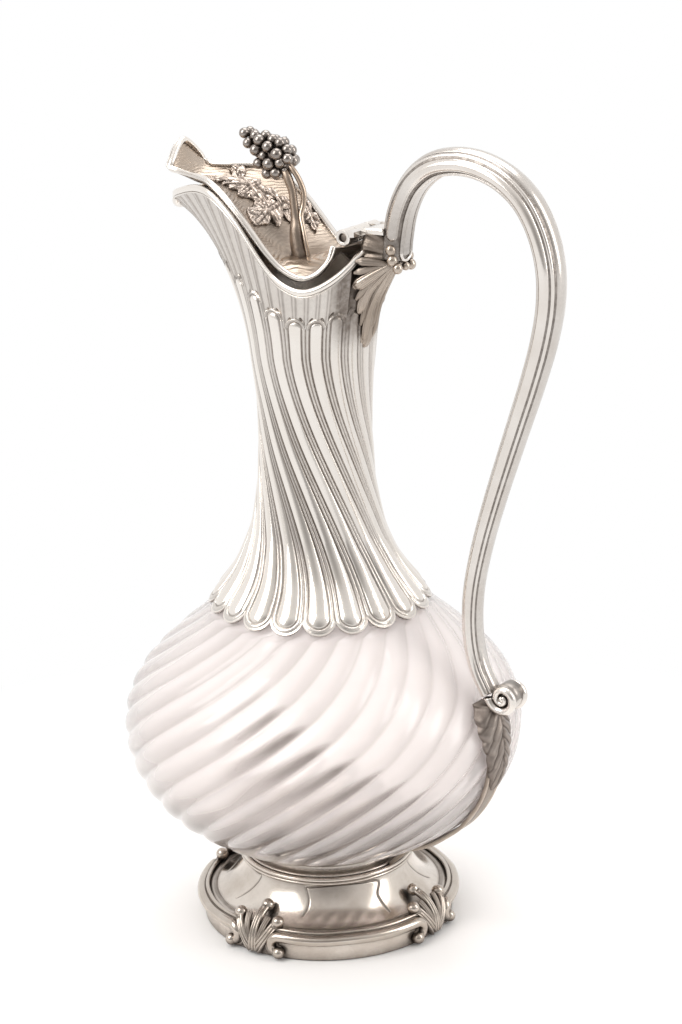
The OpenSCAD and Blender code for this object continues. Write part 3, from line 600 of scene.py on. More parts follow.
    # inner face: a plain offset, on every sixth row and fourth column
    thickness = 1.1
    inner = base - nrm * thickness
    bld = Build()
    bld.grid(outer, oxide_and_shade=oxide_and_shade)
    bld.grid(np.stack([base[0] - nrm[0] * 0.75, outer[0]]), oxide_and_shade=0.35)
    bld.grid(inner[np.r_[0:rows:6, rows - 1]][:, ::4], flip=True, oxide_and_shade=0.25)
    bld.grid(np.stack([outer[-1], inner[-1]]))
    bld.piece("neck_sleeve", MOUNT, ("neck_mount",))


neck_mount()


# ------------------------------------------------------------------ mouth rim and spout roll
def mouth_rim():
    s = np.linspace(0, 360, 300, endpoint=False)
    p = mouth_point(s, 0.6, RIM / 2)
    n = mouth_out(p[:, 0], p[:, 1])
    up = np.broadcast_to([0, 0, 1.0], n.shape)
    bld = Build()
    bld.sweep(p, n, up, oval(1.25, 1.28, 22, pb=0.8), closed=True)
    # fine bead under the moulding
    bld.sweep(mouth_point(s, 0.1, -0.25), n, up, circle(0.32, 8), closed=True, oxide_and_shade=0.15)
    # rolled lip of the spout
    lo, hi = 158, 202
    s = np.linspace(lo, hi, 40)
    centre = mouth_point(s)
    centre = centre - 1.1 * mouth_out(centre[:, 0], centre[:, 1]) - np.array([0, 0, 0.05])
    side, up = frames_of(centre)
    grow = np.sin(np.radians((s - lo) / (hi - lo) * 180)) ** 0.5
    bld.sweep(centre, side, up, circle(1, 20), 1.0 + 1.25 * grow, ends=(0.5, 0.5))
    bld.piece("mouth_moulding", SILVER, ("mouth_rim",))


mouth_rim()


# ------------------------------------------------------------------ glass
def glass():
    per = 12                                          # columns to a rib
    cols = GLASS_RIBS * per
    ring = np.radians(360 * np.arange(cols) / cols)
    t = (np.arange(cols) % per) / per
    groove = (1 - np.sin(math.pi * t)) ** 1.15
    z = np.concatenate([np.linspace(GLASS_LOW, 37, 14)[:-1], np.linspace(37, 119, 110)])[:, None]
    fade = ease((z - GLASS_LOW) / 14) * (1 - 0.6 * ease((z - 100) / 22))
    # the crests lie a little inside those of the solid, which has fewer ribs
    inset, depth, first = 0.42, 1.6, -5.2
    r = at(GLASS_PROFILE, z) - inset - depth * fade * groove
    share = (NECK_LOW - z) / (NECK_LOW - GLASS_LOW)
    outer = polar(r, ring + np.radians(first - GLASS_TWIST * share), z)
    bottom = polar(np.array([[0.4], [15]]), ring - math.radians(GLASS_TWIST), GLASS_LOW)
    zn = np.array([121, 124, 127, 131, 136, 142, 150, 160, 170, 185, 200, 215])
    rn = at(NECK_PROFILE, np.maximum(zn, NECK_LOW)) - 3.2
    zi = np.array([215, 200, 185, 170, 160, 150, 142, 136, 131, 127, 122])
    ri = at(NECK_PROFILE, np.maximum(zi, NECK_LOW)) - 6.2
    zb = np.linspace(119, 50, 60)
    rb = at(GLASS_PROFILE, zb) - 4.3 - 0.6 * ease((60 - zb) / 10)
    floor = [(54.2, 47.2), (49.6, 44.8), (43.0, 42.4), (35.0, 40.4), (27.0, 39.0), (18.0, 38.2),
             (9.0, 37.9), (0.4, 37.8)]
    lip = [(19.2, 225.4), (18.9, 226), (16.6, 226), (16.2, 225.4)]
    smooth = np.array([*zip(rn, zn), *lip, *zip(ri, zi), *zip(rb, zb), *floor])
    pts = np.concatenate([bottom, outer, polar(smooth[:, :1], ring, smooth[:, 1:])])
    # painted shade of the flutes: a thin line by each groove above, a broad streak in each flute
    # below
    az = np.degrees(np.arctan2(outer[..., 1], outer[..., 0]))
    line = bell(np.minimum(t, 1 - t), 0, 0.06)
    broad = ease(t / 0.85) * ease((1 - t) / 0.1)      # darkest beside the groove on its left
    start = np.clip(102.5 - 0.716 * (az + 67), 66, 106)
    below = np.clip((start - z) / 26, 0, 1) ** 0.8
    reach = ease((start + 2 - z) / 11) * (0.35 + 0.65 * bell(z, start, 26))
    streak = (reach * ease((az + 90) / 26) * ease((-4 - az) / 30)
              * bell(t, mix(0.9, 0.66, below), mix(0.11, 0.36, below)) * ease((1 - t) / 0.1))
    base = (ease((70 - z) / 16) * ease((z - 32) / 6) * (0.35 + 0.65 * bell(az, -42, 62))
            * broad ** 1.2)
    soft = 0.6 + 0.4 * bell(az, -100, 50)
    wall = (0.26 * line * (1 - 0.7 * base) + 0.2 * broad ** 1.8) * soft
    shade = np.zeros(pts.shape[:2])
    shade[2:2 + len(z)] = wall + 1.15 * streak + 0.66 * base
    bld = Build()
    bld.solid(pts, shade)
    bld.piece("glass_bulb", GLASS, ("glass_body",))


glass()


# ------------------------------------------------------------------ handle
HANDLE_PATH = [(35.4, 249), (36.2, 256.5), (38.4, 266), (43.2, 275), (50.8, 281.2), (60.2, 283.5),
               (69.8, 282.7), (79, 279), (86.8, 272.4), (92.4, 262.8), (95.4, 251.5), (95.5, 239.5),
               (93.1, 226.5), (88.9, 212.5), (84, 198.5), (78.9, 184), (73.8, 169), (69.2, 154),
               (65.7, 139), (64.5, 127), (65.1, 116.5), (67.4, 107.5), (71.6, 99.6)]
HW, HT, TAPER = 12.8, 9.2, 0.72

def handle_frames(n):
    p2 = along(HANDLE_PATH, np.linspace(0, len(HANDLE_PATH) - 1, n))
    path = np.stack([p2[:, 0], 0 * p2[:, 0], p2[:, 1]], 1)
    t = unit(np.gradient(path, axis=0))
    out = np.stack([-t[:, 2], 0 * t[:, 0], t[:, 0]], 1)
    side = np.broadcast_to([0, 1.0, 0], path.shape)
    share = mix(1, TAPER, ease((np.linspace(0, 1, n) - 0.38) / 0.5))
    return path, side, out, share


def handle():
    n = 260
    path, side, out, share = handle_frames(n)
    u = np.linspace(0, 1, n)
    u = np.linspace(0, 1, n)
    film = 0.62 * bell(u, 0, 0.12) + 0.1 * ease((u - 0.35) / 0.3)
    bld = Build()

    def strip(section, i0, ends, oxide_and_shade=0.0, a=0.0, o=0.0):
        """Strand from row i0 to the end, a and o of the handle's width and depth off its middle."""
        sl = slice(i0, n)
        oxide_and_shade = np.broadcast_to(np.maximum(oxide_and_shade, film[sl, None] + 0.5 * oxide_and_shade), (n - i0, len(section)))
        c = path[sl] + share[sl, None] * (a * HW * side[sl] + o * HT * out[sl])
        bld.sweep(c, side[sl], out[sl], section * np.array([HW, HT]), share[sl], oxide_and_shade, ends)

    # core, sunk between the reeds
    strip(oval(0.40, 0.40, 40, 0.6, 0.6), 0, (0.5, 0.5), oxide_and_shade=0.95)
    # rolls on both sides, a thin reed beside each, and the border reeds of the inside face
    for s in (-1, 1):
        strip(oval(0.155, 0.24, 20), 13, (2.0, 0.3), a=0.345 * s, o=-0.06)
        strip(oval(0.06, 0.085, 10), 15, (0.5, 0.3), a=0.315 * s, o=0.265)
        strip(oval(0.055, 0.075, 10), 5, (0.3, 0.3), a=0.225 * s, o=-0.405)
    # broad ridge on the outside face, flat panel on the inside face
    strip(oval(0.225, 0.15, 20), 4, (1.0, 0.6), oxide_and_shade=0.3, o=0.35)
    strip(oval(0.17, 0.06, 20, 0.5), 4, (0.6, 0.3), o=-0.40)
    # rounded end of the panel's border at the root
    k = 5
    tan = unit(path[k + 1] - path[k])
    th = np.linspace(0, math.pi, 16)[:, None]
    arc = (path[k] - 0.405 * HT * out[k]
           + 0.225 * HW * (np.cos(th) * side[k] - np.sin(th) * tan))
    sd, up = frames_of(arc, out[k])
    bld.sweep(arc, sd, up, circle(0.68, 12), ends=(0.2, 0.2))
    bld.piece("handle_reeded", HANDLE, ("handle",))


handle()


def discs(cx, cz, profile, n):
    """Rows of points round the level line through cx, cz along y, one for each (radius, y)."""
    a = turns(n)
    return np.array([np.stack([cx + r * np.cos(a), y + 0 * a, cz + r * np.sin(a)], 1)
                     for r, y in profile])


def volute():
    cx, cz = 78.4, 99.6
    bld = Build()
    n, turn = 90, 360 * 1.62
    th = np.linspace(0, turn, n)
    q = th / turn
    a = np.radians(th - 170)
    out = np.stack([np.cos(a), 0 * a, np.sin(a)], 1)
    side = np.broadcast_to([0, 1.0, 0], out.shape)
    centre = np.array([cx, 0, cz])
    # scroll band, across the handle
    thick = mix(1.5, 0.7, q)
    band = np.stack([mix(3.8, 3.3, q), thick], 1)
    path = centre + (mix(6.1, 1.3, q ** 0.9) - thick)[:, None] * out
    sec = oval(1, 1, 32, 0.5)[None] * band[:, None]
    bld.sweep(path, side, out, sec, ends=(0.3, 0.3), oxide_and_shade=0.25)
    # spiral rolls on both faces, running on from the handle's side rolls
    for s in (-1, 1):
        y = s * (3.4 + 0.8 * np.sin(q * math.pi / 2))
        c = centre + (mix(6.0, 0.85, q ** 0.8) - 0.2)[:, None] * out + y[:, None] * side
        bld.sweep(c, side, out, circle(1, 16), mix(1.7, 0.8, q), ends=(0.4, 0.6))
        bld.ball((cx, s * 4.3, cz), 1.15)
    bld.solid(discs(cx, cz, ((4.6, -3.2), (4.6, 3.2)), 24), 0.8)
    bld.piece("handle_scroll", HANDLE, ("handle_volute",))


volute()

# ------------------------------------------------------------------ foot
FOOT_R = 46.0
WALL_MID = 46.6                                       # radius at which arcs along the wall are read


def dome_xy(t):
    t = np.asarray(t, float)[..., None]
    q = 1 - t
    return (q ** 3 * np.array([30.4, 23]) + 3 * q * q * t * np.array([31.4, 18])
            + 3 * q * t * t * np.array([36.8, 10.5]) + t ** 3 * np.array([41.8, 10]))


def near_line(px, py, line):
    """Distance of points to a polyline."""
    best = np.full(np.shape(px), 1e9)
    for (ax, ay), (bx, by) in zip(line[:-1], line[1:]):
        dx, dy = bx - ax, by - ay
        k = np.clip(((px - ax) * dx + (py - ay) * dy) / (dx * dx + dy * dy), 0, 1)
        best = np.minimum(best, np.hypot(px - ax - k * dx, py - ay - k * dy))
    return best


def foot_dome():
    cols, rows = 1200, 96
    th = np.linspace(-180, 180, cols, endpoint=False)
    prof = dome_xy(np.linspace(0, 1, rows))
    r, z = prof[:, :1], prof[:, 1:]
    arc = np.concatenate([[0], np.cumsum(np.linalg.norm(np.diff(prof, axis=0), axis=1))])[:, None]
    # outlines of the panels, as (degrees from the panel's middle, length down the dome)
    wide = [(-24.5, 1.9), (-12, 1.1), (0, 0.8), (12, 1.2), (26, 2.2), (23, 6.0), (22.8, 8.0),
            (25.5, 14.2)]
    left = [(-24.5, 1.9), (-22.2, 6.0), (-22.6, 9.5), (-24.8, 12.3)]
    side = [(10, 0.3), (22, 1.2), (28.5, 1.9), (25, 7), (20, 11.5), (17.5, 13.6)]
    mirrored = [(-a, b) for a, b in side]
    d = np.full((rows, cols), 9.0)
    for centre, lines in ((-135, (side, mirrored)), (-45, (wide, left)), (45, (side, mirrored)),
                          (135, (wide, left))):
        rel = (th - centre + 180) % 360 - 180
        panel = np.abs(rel) < 40
        x = (np.radians(rel) * r)[:, panel]
        for line in lines:
            seg = [(math.radians(a) * np.interp(b, arc[:, 0], r[:, 0]), b)
                   for a, b in resample(line, 60)]
            d[:, panel] = np.minimum(d[:, panel], near_line(x, np.broadcast_to(arc, x.shape), seg))
    depth, width = 0.28, 0.36                         # of the engraved outlines
    cut = bell(d, 0, width)
    nrm = np.abs(unit(np.stack([np.gradient(prof[:, 1]), np.gradient(prof[:, 0])], 1)))
    top = polar(r - depth * nrm[:, :1] * cut, np.radians(th), z - depth * nrm[:, 1:] * cut)
    low = ease((arc - arc[-1] + 1.6) / 1.6)
    bld = Build()
    bld.grid(top, flip=True, oxide_and_shade=np.maximum(cut, 0.85 * low))
    inner = np.array([(41.4, 9.2), (37.5, 9.6), (33.5, 12.8), (31.0, 17.5), (29.2, 21.5),
                      (20.4, 22.4), (20.4, 23.6), (28.6, 23.6), (30.4, 23.0)])
    bld.grid(polar(inner[:, :1], np.radians(th[::6]), inner[:, 1:]), oxide_and_shade=0.4)
    bld.piece("foot_bell", FOOT, ("foot_dome",))


foot_dome()


def rounded(points):
    """Profile of straight steps between (r, z) points, with arcs for (r, z, radius, from, to)."""
    out = []
    for p in points:
        if len(p) == 2:
            out.append(p)
        else:
            cx, cz, rad, a0, a1 = p
            a = np.radians(np.linspace(a0, a1, 10))
            out += list(zip(cx + rad * np.cos(a), cz + rad * np.sin(a)))
    return np.array(out)


def lathe(name, prof, oxide_and_shade, node, seg=256, first=0):
    """Ring turned from a closed profile; first is the angle of its first column, in degrees."""
    bld = Build()
    prof, oxide_and_shade = (np.concatenate([q, q[:1]]) for q in (prof, oxide_and_shade))
    ring = polar(prof[:, :1], turns(seg) + math.radians(first), prof[:, 1:])
    bld.grid(ring, flip=True, oxide_and_shade=oxide_and_shade)
    bld.piece(name, FOOT, (node,))


def foot_rings():
    prof = rounded([(27.2, 23.2), (30.2, 23.0), (31.55, 23.25, 0.62, -70, 75), (31.3, 24.0),
                    (31.05, 24.4, 0.95, -30, 120), (29.6, 25.0), (28.0, 25.0), (27.2, 24.8)])
    r, z = prof[:, :1], prof[:, 1:]
    dark = ((np.abs(r - 31.3) < 0.12) & (np.abs(z - 24.0) < 0.1)) | (r < 30)
    lathe("foot_ring", prof, 0.6 * dark, "foot_collar")
    prof = rounded([(21.0, 24.95), (29.9, 24.95), (29.9, 25.5, 0.55, -70, 80), (29.5, 26.15),
                    (28.7, 26.3), (28.0, 26.8), (27.7, 27.6), (27.8, 28.5), (28.3, 29.2),
                    (29.0, 29.6), (29.1, 29.75), (29.5, 29.8), (29.55, 30.25, 0.42, -70, 80),
                    (29.2, 30.75), (21.0, 30.85)])
    z = prof[:, 1:]
    dark = ((z > 26.1) & (z < 26.6)) | (np.abs(z - 29.72) < 0.1)
    dull = (z > 26.5) & (z < 29.7)
    lathe("seat_ring", prof, np.where(dark, 0.7, 0.3 * dull), "glass_seat")
    prof = rounded([(43.0, 0.0), (45.6, 0.0), (45.6, 0.5, 0.45, -70, 0), (46.0, 3.0), (46.0, 7.4),
                    (45.6, 8.1), (44.9, 8.7), (44.2, 9.4), (43.4, 9.9), (42.6, 10.35), (41.9, 10.5),
                    (41.2, 10.1), (41.0, 9.0), (44.0, 7.1), (44.4, 3.0), (43.0, 2.0)])
    # painted shade beside the four reed clusters, and dark on the ledge
    cols = 480
    deg = np.degrees(turns(cols)) - 180
    off = np.min([np.abs((deg - c + 180) % 360 - 180) for c in (0, 90, 180, 270)], axis=0)
    oxide_and_shade = np.maximum(0.85 * np.clip((17.5 - off) / 6, 0, 1), 0.75 * (prof[:, 1:] > 9.95))
    lathe("foot_band", prof, oxide_and_shade, "foot_wall", cols, -180)


foot_rings()


def foot_scroll(name, turn):
    """C-scroll round one panel: roll, groove and ridge, whose ends curl down to a ball."""
    bld = Build()
    span = math.radians(32.5) * WALL_MID              # half length of the straight part
    curl, curl_end, rail_z, curl_z = 3.1, 188, 8.7, 5.6
    n1, n2 = 70, 26
    ph = np.linspace(0, curl_end, n2)                 # degrees round the curl
    c, sn = np.cos(np.radians(ph)), np.sin(np.radians(ph))

    def both(straight, curled, sign=1):
        """Values from the middle out to the end of the curl, mirrored to the other side."""
        v = np.concatenate([straight * np.ones(n1 - 1), curled])
        return np.concatenate([sign * v[::-1], v[1:]])

    wave = 0.28 * np.sin(np.linspace(0, 1, n1)[:-1] * math.pi) ** 2
    s = both(np.linspace(0, span, n1)[:-1], span + curl * sn, -1)
    z = both(rail_z - wave, curl_z + curl * c)
    g = both(0, ph / curl_end)
    bs, bz = both(0, sn, -1), both(1, c)

    def on_wall(s, r, z):
        return polar(r, math.radians(turn) + s / WALL_MID, z)

    def rail(off_b, off_r, rad, oxide_and_shade=0.0):
        along_wall = s + bs * off_b
        path = on_wall(along_wall, 46.75 + off_r + 0.5 * ease(g * 3), z + bz * off_b)
        side, er = frames_of(path, on_wall(along_wall, 1, 0))
        bld.sweep(path, side, er, circle(1, 18), rad, oxide_and_shade, (0.6, 0.6))

    rail(-0.15, 0.1, mix(1.9, 1.5, ease(g * 1.6)))
    # thin ridge behind the roll, with a dark groove between
    rail(mix(1.75, 2.25, ease(g * 4)) * mix(1.0, 0.72, ease((g - 0.55) / 0.45)),
         mix(-1.9, -0.7, ease(g * 4)), mix(0.78, 0.6, g))
    rail(mix(0.9, 1.2, ease(g * 4)) * mix(1.0, 0.8, ease((g - 0.6) / 0.4)),
         mix(-1.5, -0.9, ease(g * 4)), mix(0.75, 0.6, g), oxide_and_shade=0.85)
    # soft cove under the roll, coloured dark: painted shade under the roll
    rail(-2.0, -1.1, mix(0.85, 0.6, g), oxide_and_shade=0.95)
    for side in (-1, 1):
        bld.ball(on_wall(side * (span - 0.1), 47.75, 2.75), 2.2)
    bld.piece(name + "_chased", SCROLL, (name,))


for spot, angle in (("front", -45), ("right", 45), ("back", 135), ("left", 225)):
    foot_scroll("foot_scroll_" + spot, angle)


def strand(k, lines):
    """Section height and dark lines of a chased strand at places k from -1 to 1 across it."""
    ridge = np.abs(np.cos(lines * math.pi * k))
    return np.sqrt(np.maximum(0, 1 - k ** 2)), ridge


def reeds(name, turn):
    bld = Build()

    def reed(arc, lo, hi, lean, shift, scale=1.18, ball=True, dull=0.0):
        th = np.radians(np.linspace(lo, hi, 46))
        ln, az = math.radians(lean), math.radians(turn + shift)
        outv = np.stack([np.cos(th), np.sin(th) * math.sin(ln), np.sin(th) * math.cos(ln)], -1)
        base = np.array([FOOT_R + 1.4 - arc, 0,
                         1.9 + arc * math.sin(math.radians(-lo)) * math.cos(ln)])
        spin = np.array(Matrix.Rotation(az, 3, "Z")).T
        path, outv = (base + arc * outv) @ spin, outv @ spin
        side, up = frames_of(path, outv)
        # three fine ridges over a round back
        k = np.linspace(-1, 1, 31)
        dome, ridge = strand(k, 1.5)
        top = 0.78 * dome ** 0.8 + 0.36 * ridge
        sec = np.concatenate([np.stack([1.76 * k, 1.08 * top], 1),
                              [(1.3, -0.9), (0, -1.2), (-1.3, -0.9)]])
        oxide_and_shade = np.concatenate([np.clip(1.15 - ridge / 0.45, 0, 1), [0.95] * 3])
        size = scale * mix(1.0, 0.82, ease(np.linspace(0, 2, len(path))))
        bld.sweep(path, side, up, sec, size, np.maximum(oxide_and_shade, dull)[::-1], (0.2, 0.3))
        if ball:
            ahead = unit(path[-1] - path[-2])
            bld.ball(path[-1] + ahead * 0.4, 2.32, 16, 24)
            bld.ball(path[-1] - ahead * 1.5, 1.5, 10, 16, oxide_and_shade=0.7)

    reed(11.6, -10, 78, 0, 0)
    for sd in (-1, 1):
        reed(12.4, -20, 44, 34 * sd, 4.2 * sd)
        reed(11.6, -16, 50, 17 * sd, 2.2 * sd, 0.85, False, 0.6)
    bld.piece(name + "_chased", SCROLL, (name,))


for spot, angle in (("handle", 0), ("back", 90), ("spout", 180), ("front", 270)):
    reeds("reed_cluster_" + spot, angle)

# ------------------------------------------------------------------ lid
LID_EDGE = np.array([(17, 10.2, 251.2), (16.2, 12.2, 246.6), (13, 15.4, 242.3), (8, 18.2, 240.9),
                     (2, 19.8, 243.6), (-4, 20.4, 248.8), (-10, 20.4, 255.3), (-16, 20.2, 261.6),
                     (-23, 19.4, 267.4), (-30, 17.6, 270.8), (-37, 14.2, 271.4), (-44, 10.8, 271.4),
                     (-49, 9.4, 271.8), (-52.5, 9.7, 272.8)])
LID_MIDDLE = np.array([(17.4, 252.2), (16, 251.6), (12.6, 250.2), (8, 248.9), (2, 247.8), (-4, 248),
                       (-10, 250.6), (-16, 256.2), (-23, 262.8), (-30, 267), (-37, 268.3),
                       (-44, 269), (-49.4, 271.5), (-54, 282.4)])


def lid_point(i, v):
    """Point at station i of the lid's edge and share v of its half width; the lip is station 13."""
    i, v = np.broadcast_arrays(np.asarray(i, float), np.asarray(v, float))
    e, m = along(LID_EDGE, i.ravel()), along(LID_MIDDLE, i.ravel())
    vv = v.ravel()
    w = 1 - vv * vv
    wz = mix(w, 1 - np.abs(vv) ** 1.5, ease((i.ravel() - 10.6) / 1.2))
    p = [mix(e[:, 0], m[:, 0], w), e[:, 1] * vv, mix(e[:, 2] + RIM / 2, m[:, 1], wz)]
    return np.stack(p, -1).reshape(i.shape + (3,))


def lid_shell():
    rows, cols = 130, 72
    v = np.sin(np.linspace(-1, 1, cols) * math.pi / 2)[None]
    top = lid_point(np.linspace(0, 13, rows)[:, None], v)
    x, y = top[..., 0], top[..., 1]
    n = unit(np.cross(np.gradient(top, axis=0), np.gradient(top, axis=1)))
    n *= np.where(n[..., 2:] < 0, -1, 1)
    # painted shadow behind the vine's stem, and brown painted shade on the side away from the
    # leaves
    shade = 0.78 * bell(x, -14, 9) * bell(y, -0.5, 7.5)
    far = 0.45 * bell(x, -10, 16) * bell(y, 7, 7)
    oxide_and_shade = np.maximum(0.35 * (1 - ease((1 - np.abs(v)) / 0.10)), np.maximum(shade, far))
    thickness = 0.9
    low = top - n * thickness
    bld = Build()
    bld.grid(top, False, oxide_and_shade=oxide_and_shade)
    bld.grid(low, False, True, 0.3)
    rims = [np.concatenate([q[0], q[1:, -1], q[-1, -2::-1], q[-2:0:-1, 0]]) for q in (top, low)]
    bld.grid(np.stack(rims))
    bld.piece("lid_plate", LIDM, ("lid_shell",), body=LID)


lid_shell()


def lid_rim():
    a = LID_EDGE * np.array([1, -1, 1]) + np.array([0, 0, RIM / 2])
    lip = lid_point(13.0, np.linspace(-1, 1, 9)[1:-1])
    path = resample(np.concatenate([a, lip, a[::-1] * np.array([1, -1, 1])]), 300)
    side, up = frames_of(path)
    path = path + 0.5 * side
    bld = Build()
    bld.sweep(path, side, up, oval(1.15, 1.12, 20), ends=(0.5, 0.5))
    inner = path - 1.35 * side + 0.25 * up
    bld.sweep(inner, side, up, circle(0.33, 8), oxide_and_shade=0.25, ends=(0.2, 0.2))
    bld.piece("lid_border", SILVER, ("lid_rim",), body=LID)


lid_rim()


def lid_height(x, y):
    e = at(LID_EDGE[::-1][:, [0, 2]], x)
    w = at(LID_EDGE[::-1][:, [0, 1]], x)
    m = at(LID_MIDDLE[::-1], x)
    return mix(e + RIM / 2, m, 1 - np.clip(y / w, -1, 1) ** 2)


def crumple(x, y, k):
    """Small folds of a chased surface, the same each time."""
    r = np.zeros(np.shape(x))
    for j in range(7):
        a = 2.399 * j + k
        f = 1.5 + 0.55 * j
        r = r + np.sin(f * (x * math.cos(a) + y * math.sin(a)) + 1.7 * j * k) / (1 + 0.35 * j)
    return r / 3.0


def leaf(name, centre, height, seed, nodes, outline, tips):
    """Chased vine leaf on the lid: outline and centre are in plan, tips are where its veins end."""
    edge = 0.75                                       # height of the leaf's border over the lid
    pts = resample(outline, 260, closed=True)
    c = np.array(centre, float)
    t = unit(np.roll(pts, -1, 0) - np.roll(pts, 1, 0))
    out = np.stack([t[:, 1], -t[:, 0]], 1)
    if np.sum((pts - c) * out) < 0:
        out = -out
    teeth = 0.30 * np.abs(np.sin(np.arange(len(pts)) * math.pi / 6.5 + seed)) - 0.12
    pts = c + 1.1 * (pts - c) + out * teeth[:, None]
    rho = np.linspace(0, 1, 34)[:, None] ** 0.8
    x, y = np.moveaxis(c + rho[..., None] * (pts[None] - c), -1, 0)
    z = lid_height(x, y)
    gx = (lid_height(x + 0.3, y) - lid_height(x - 0.3, y)) / 0.6
    gy = (lid_height(x, y + 0.3) - lid_height(x, y - 0.3)) / 0.6
    n = unit(np.stack([-gx, -gy, np.ones_like(gx)], -1))
    vein = np.min([near_line(x, y, [c, tip]) for tip in tips], axis=0)
    folds = crumple(x, y, seed)
    groove = bell(vein, 0.62, 0.22)
    h = (edge + (height - edge) * np.clip(1 - rho ** 2.2, 0, 1) - 0.30 * groove
         + 0.42 * folds * np.clip(rho * 2.5, 0, 1) + 0.30 * np.clip(1 - vein / 0.5, 0, 1))
    oxide_and_shade = 0.95 * groove + 1.9 * np.clip(-folds - 0.08, 0, 1)
    flat = np.stack([x, y, z], -1)
    top = flat + n * h[..., None]
    foot = flat[-1] - n[-1] * 0.3
    bld = Build()
    bld.grid(np.concatenate([top, mix(top[-1], foot, 0.5)[None], foot[None]]), cap0=True,
             oxide_and_shade=np.concatenate([oxide_and_shade, np.full((2, x.shape[1]), 0.9)]))
    bld.piece(name, LEAF, nodes, body=LID)


leaf("leaf_large", (-27.5, 3.4), 1.9, 1.3, ("vine_leaf_large",), [
    (-40.6, -1.0), (-41.6, 3.4), (-38.4, 3.0), (-37.2, 5.0), (-35.2, 4.4), (-33.4, 7.6),
    (-31.2, 6.6), (-28.6, 9.8), (-26.6, 8.2), (-23.6, 10.6), (-21.4, 9.4), (-22.2, 5.8),
    (-21.0, 2.6), (-22.6, -0.2), (-24.6, -0.4), (-26.2, -4.6), (-28.4, -2.2), (-30.0, -4.4),
    (-31.8, -1.8), (-33.6, -3.2), (-35.2, -0.4), (-37.8, -1.8), (-38.6, -0.4)], [
    (-40.8, 0.6), (-34.6, 6.6), (-27.6, 9.2), (-21.6, 9.0), (-21.6, 2.4), (-26.4, -4.2),
    (-33.4, -2.8)])
leaf("leaf_small", (-19.0, -0.6), 2.1, 2.9, ("vine_leaf_small",), [
    (-22.2, -1.4), (-21.4, 1.8), (-21.2, 5.4), (-19.2, 8.2), (-17.4, 7.0), (-15.6, 3.8),
    (-14.8, 0.6), (-16.8, 0.0), (-16.0, -3.2), (-15.8, -7.0), (-15.2, -10.8), (-17.6, -10.2),
    (-20.4, -7.4), (-20.6, -4.4)], [
    (-19.4, 7.6), (-15.2, 0.8), (-15.8, -10.2), (-20.2, -7.0), (-21.6, 2.4)])
leaf("leaf_side", (-19.2, 10.4), 1.7, 4.1, (), [
    (-20.6, 8.9), (-20.4, 11.4), (-18.8, 13.0), (-17.2, 12.2), (-17.0, 10.0), (-18.2, 8.8)], [
    (-17.4, 12.2), (-20.2, 11.0)])
leaf("leaf_tip", (-37.0, 9.2), 1.7, 0.7, (), [
    (-40.2, 9.0), (-39.8, 11.2), (-37.0, 12.4), (-34.8, 10.2), (-33.9, 6.6), (-36.5, 5.9),
    (-38.4, 8.2)], [
    (-39.8, 10.4), (-35.0, 9.8), (-34.6, 7.0)])
leaf("leaf_far", (-11.8, 16.0), 1.6, 5.2, ("vine_leaf_far",), [
    (-15.6, 18.2), (-13.2, 18.8), (-11.6, 17.6), (-10.4, 18.8), (-9.0, 17.6), (-8.6, 15.6),
    (-7.8, 14.2), (-9.2, 13.6), (-10.2, 14.6), (-11.4, 13.2), (-12.8, 14.4), (-14.4, 13.6),
    (-14.6, 15.6)], [
    (-15.2, 17.8), (-8.2, 14.6), (-9.4, 17.4), (-11.4, 13.6)])
leaf("leaf_low", (-15.4, 9.2), 1.5, 3.3, (), [
    (-17.0, 7.4), (-16.4, 10.8), (-14.2, 11.6), (-13.4, 9.2), (-14.6, 7.2)], [
    (-13.8, 9.4), (-16.2, 10.4)])


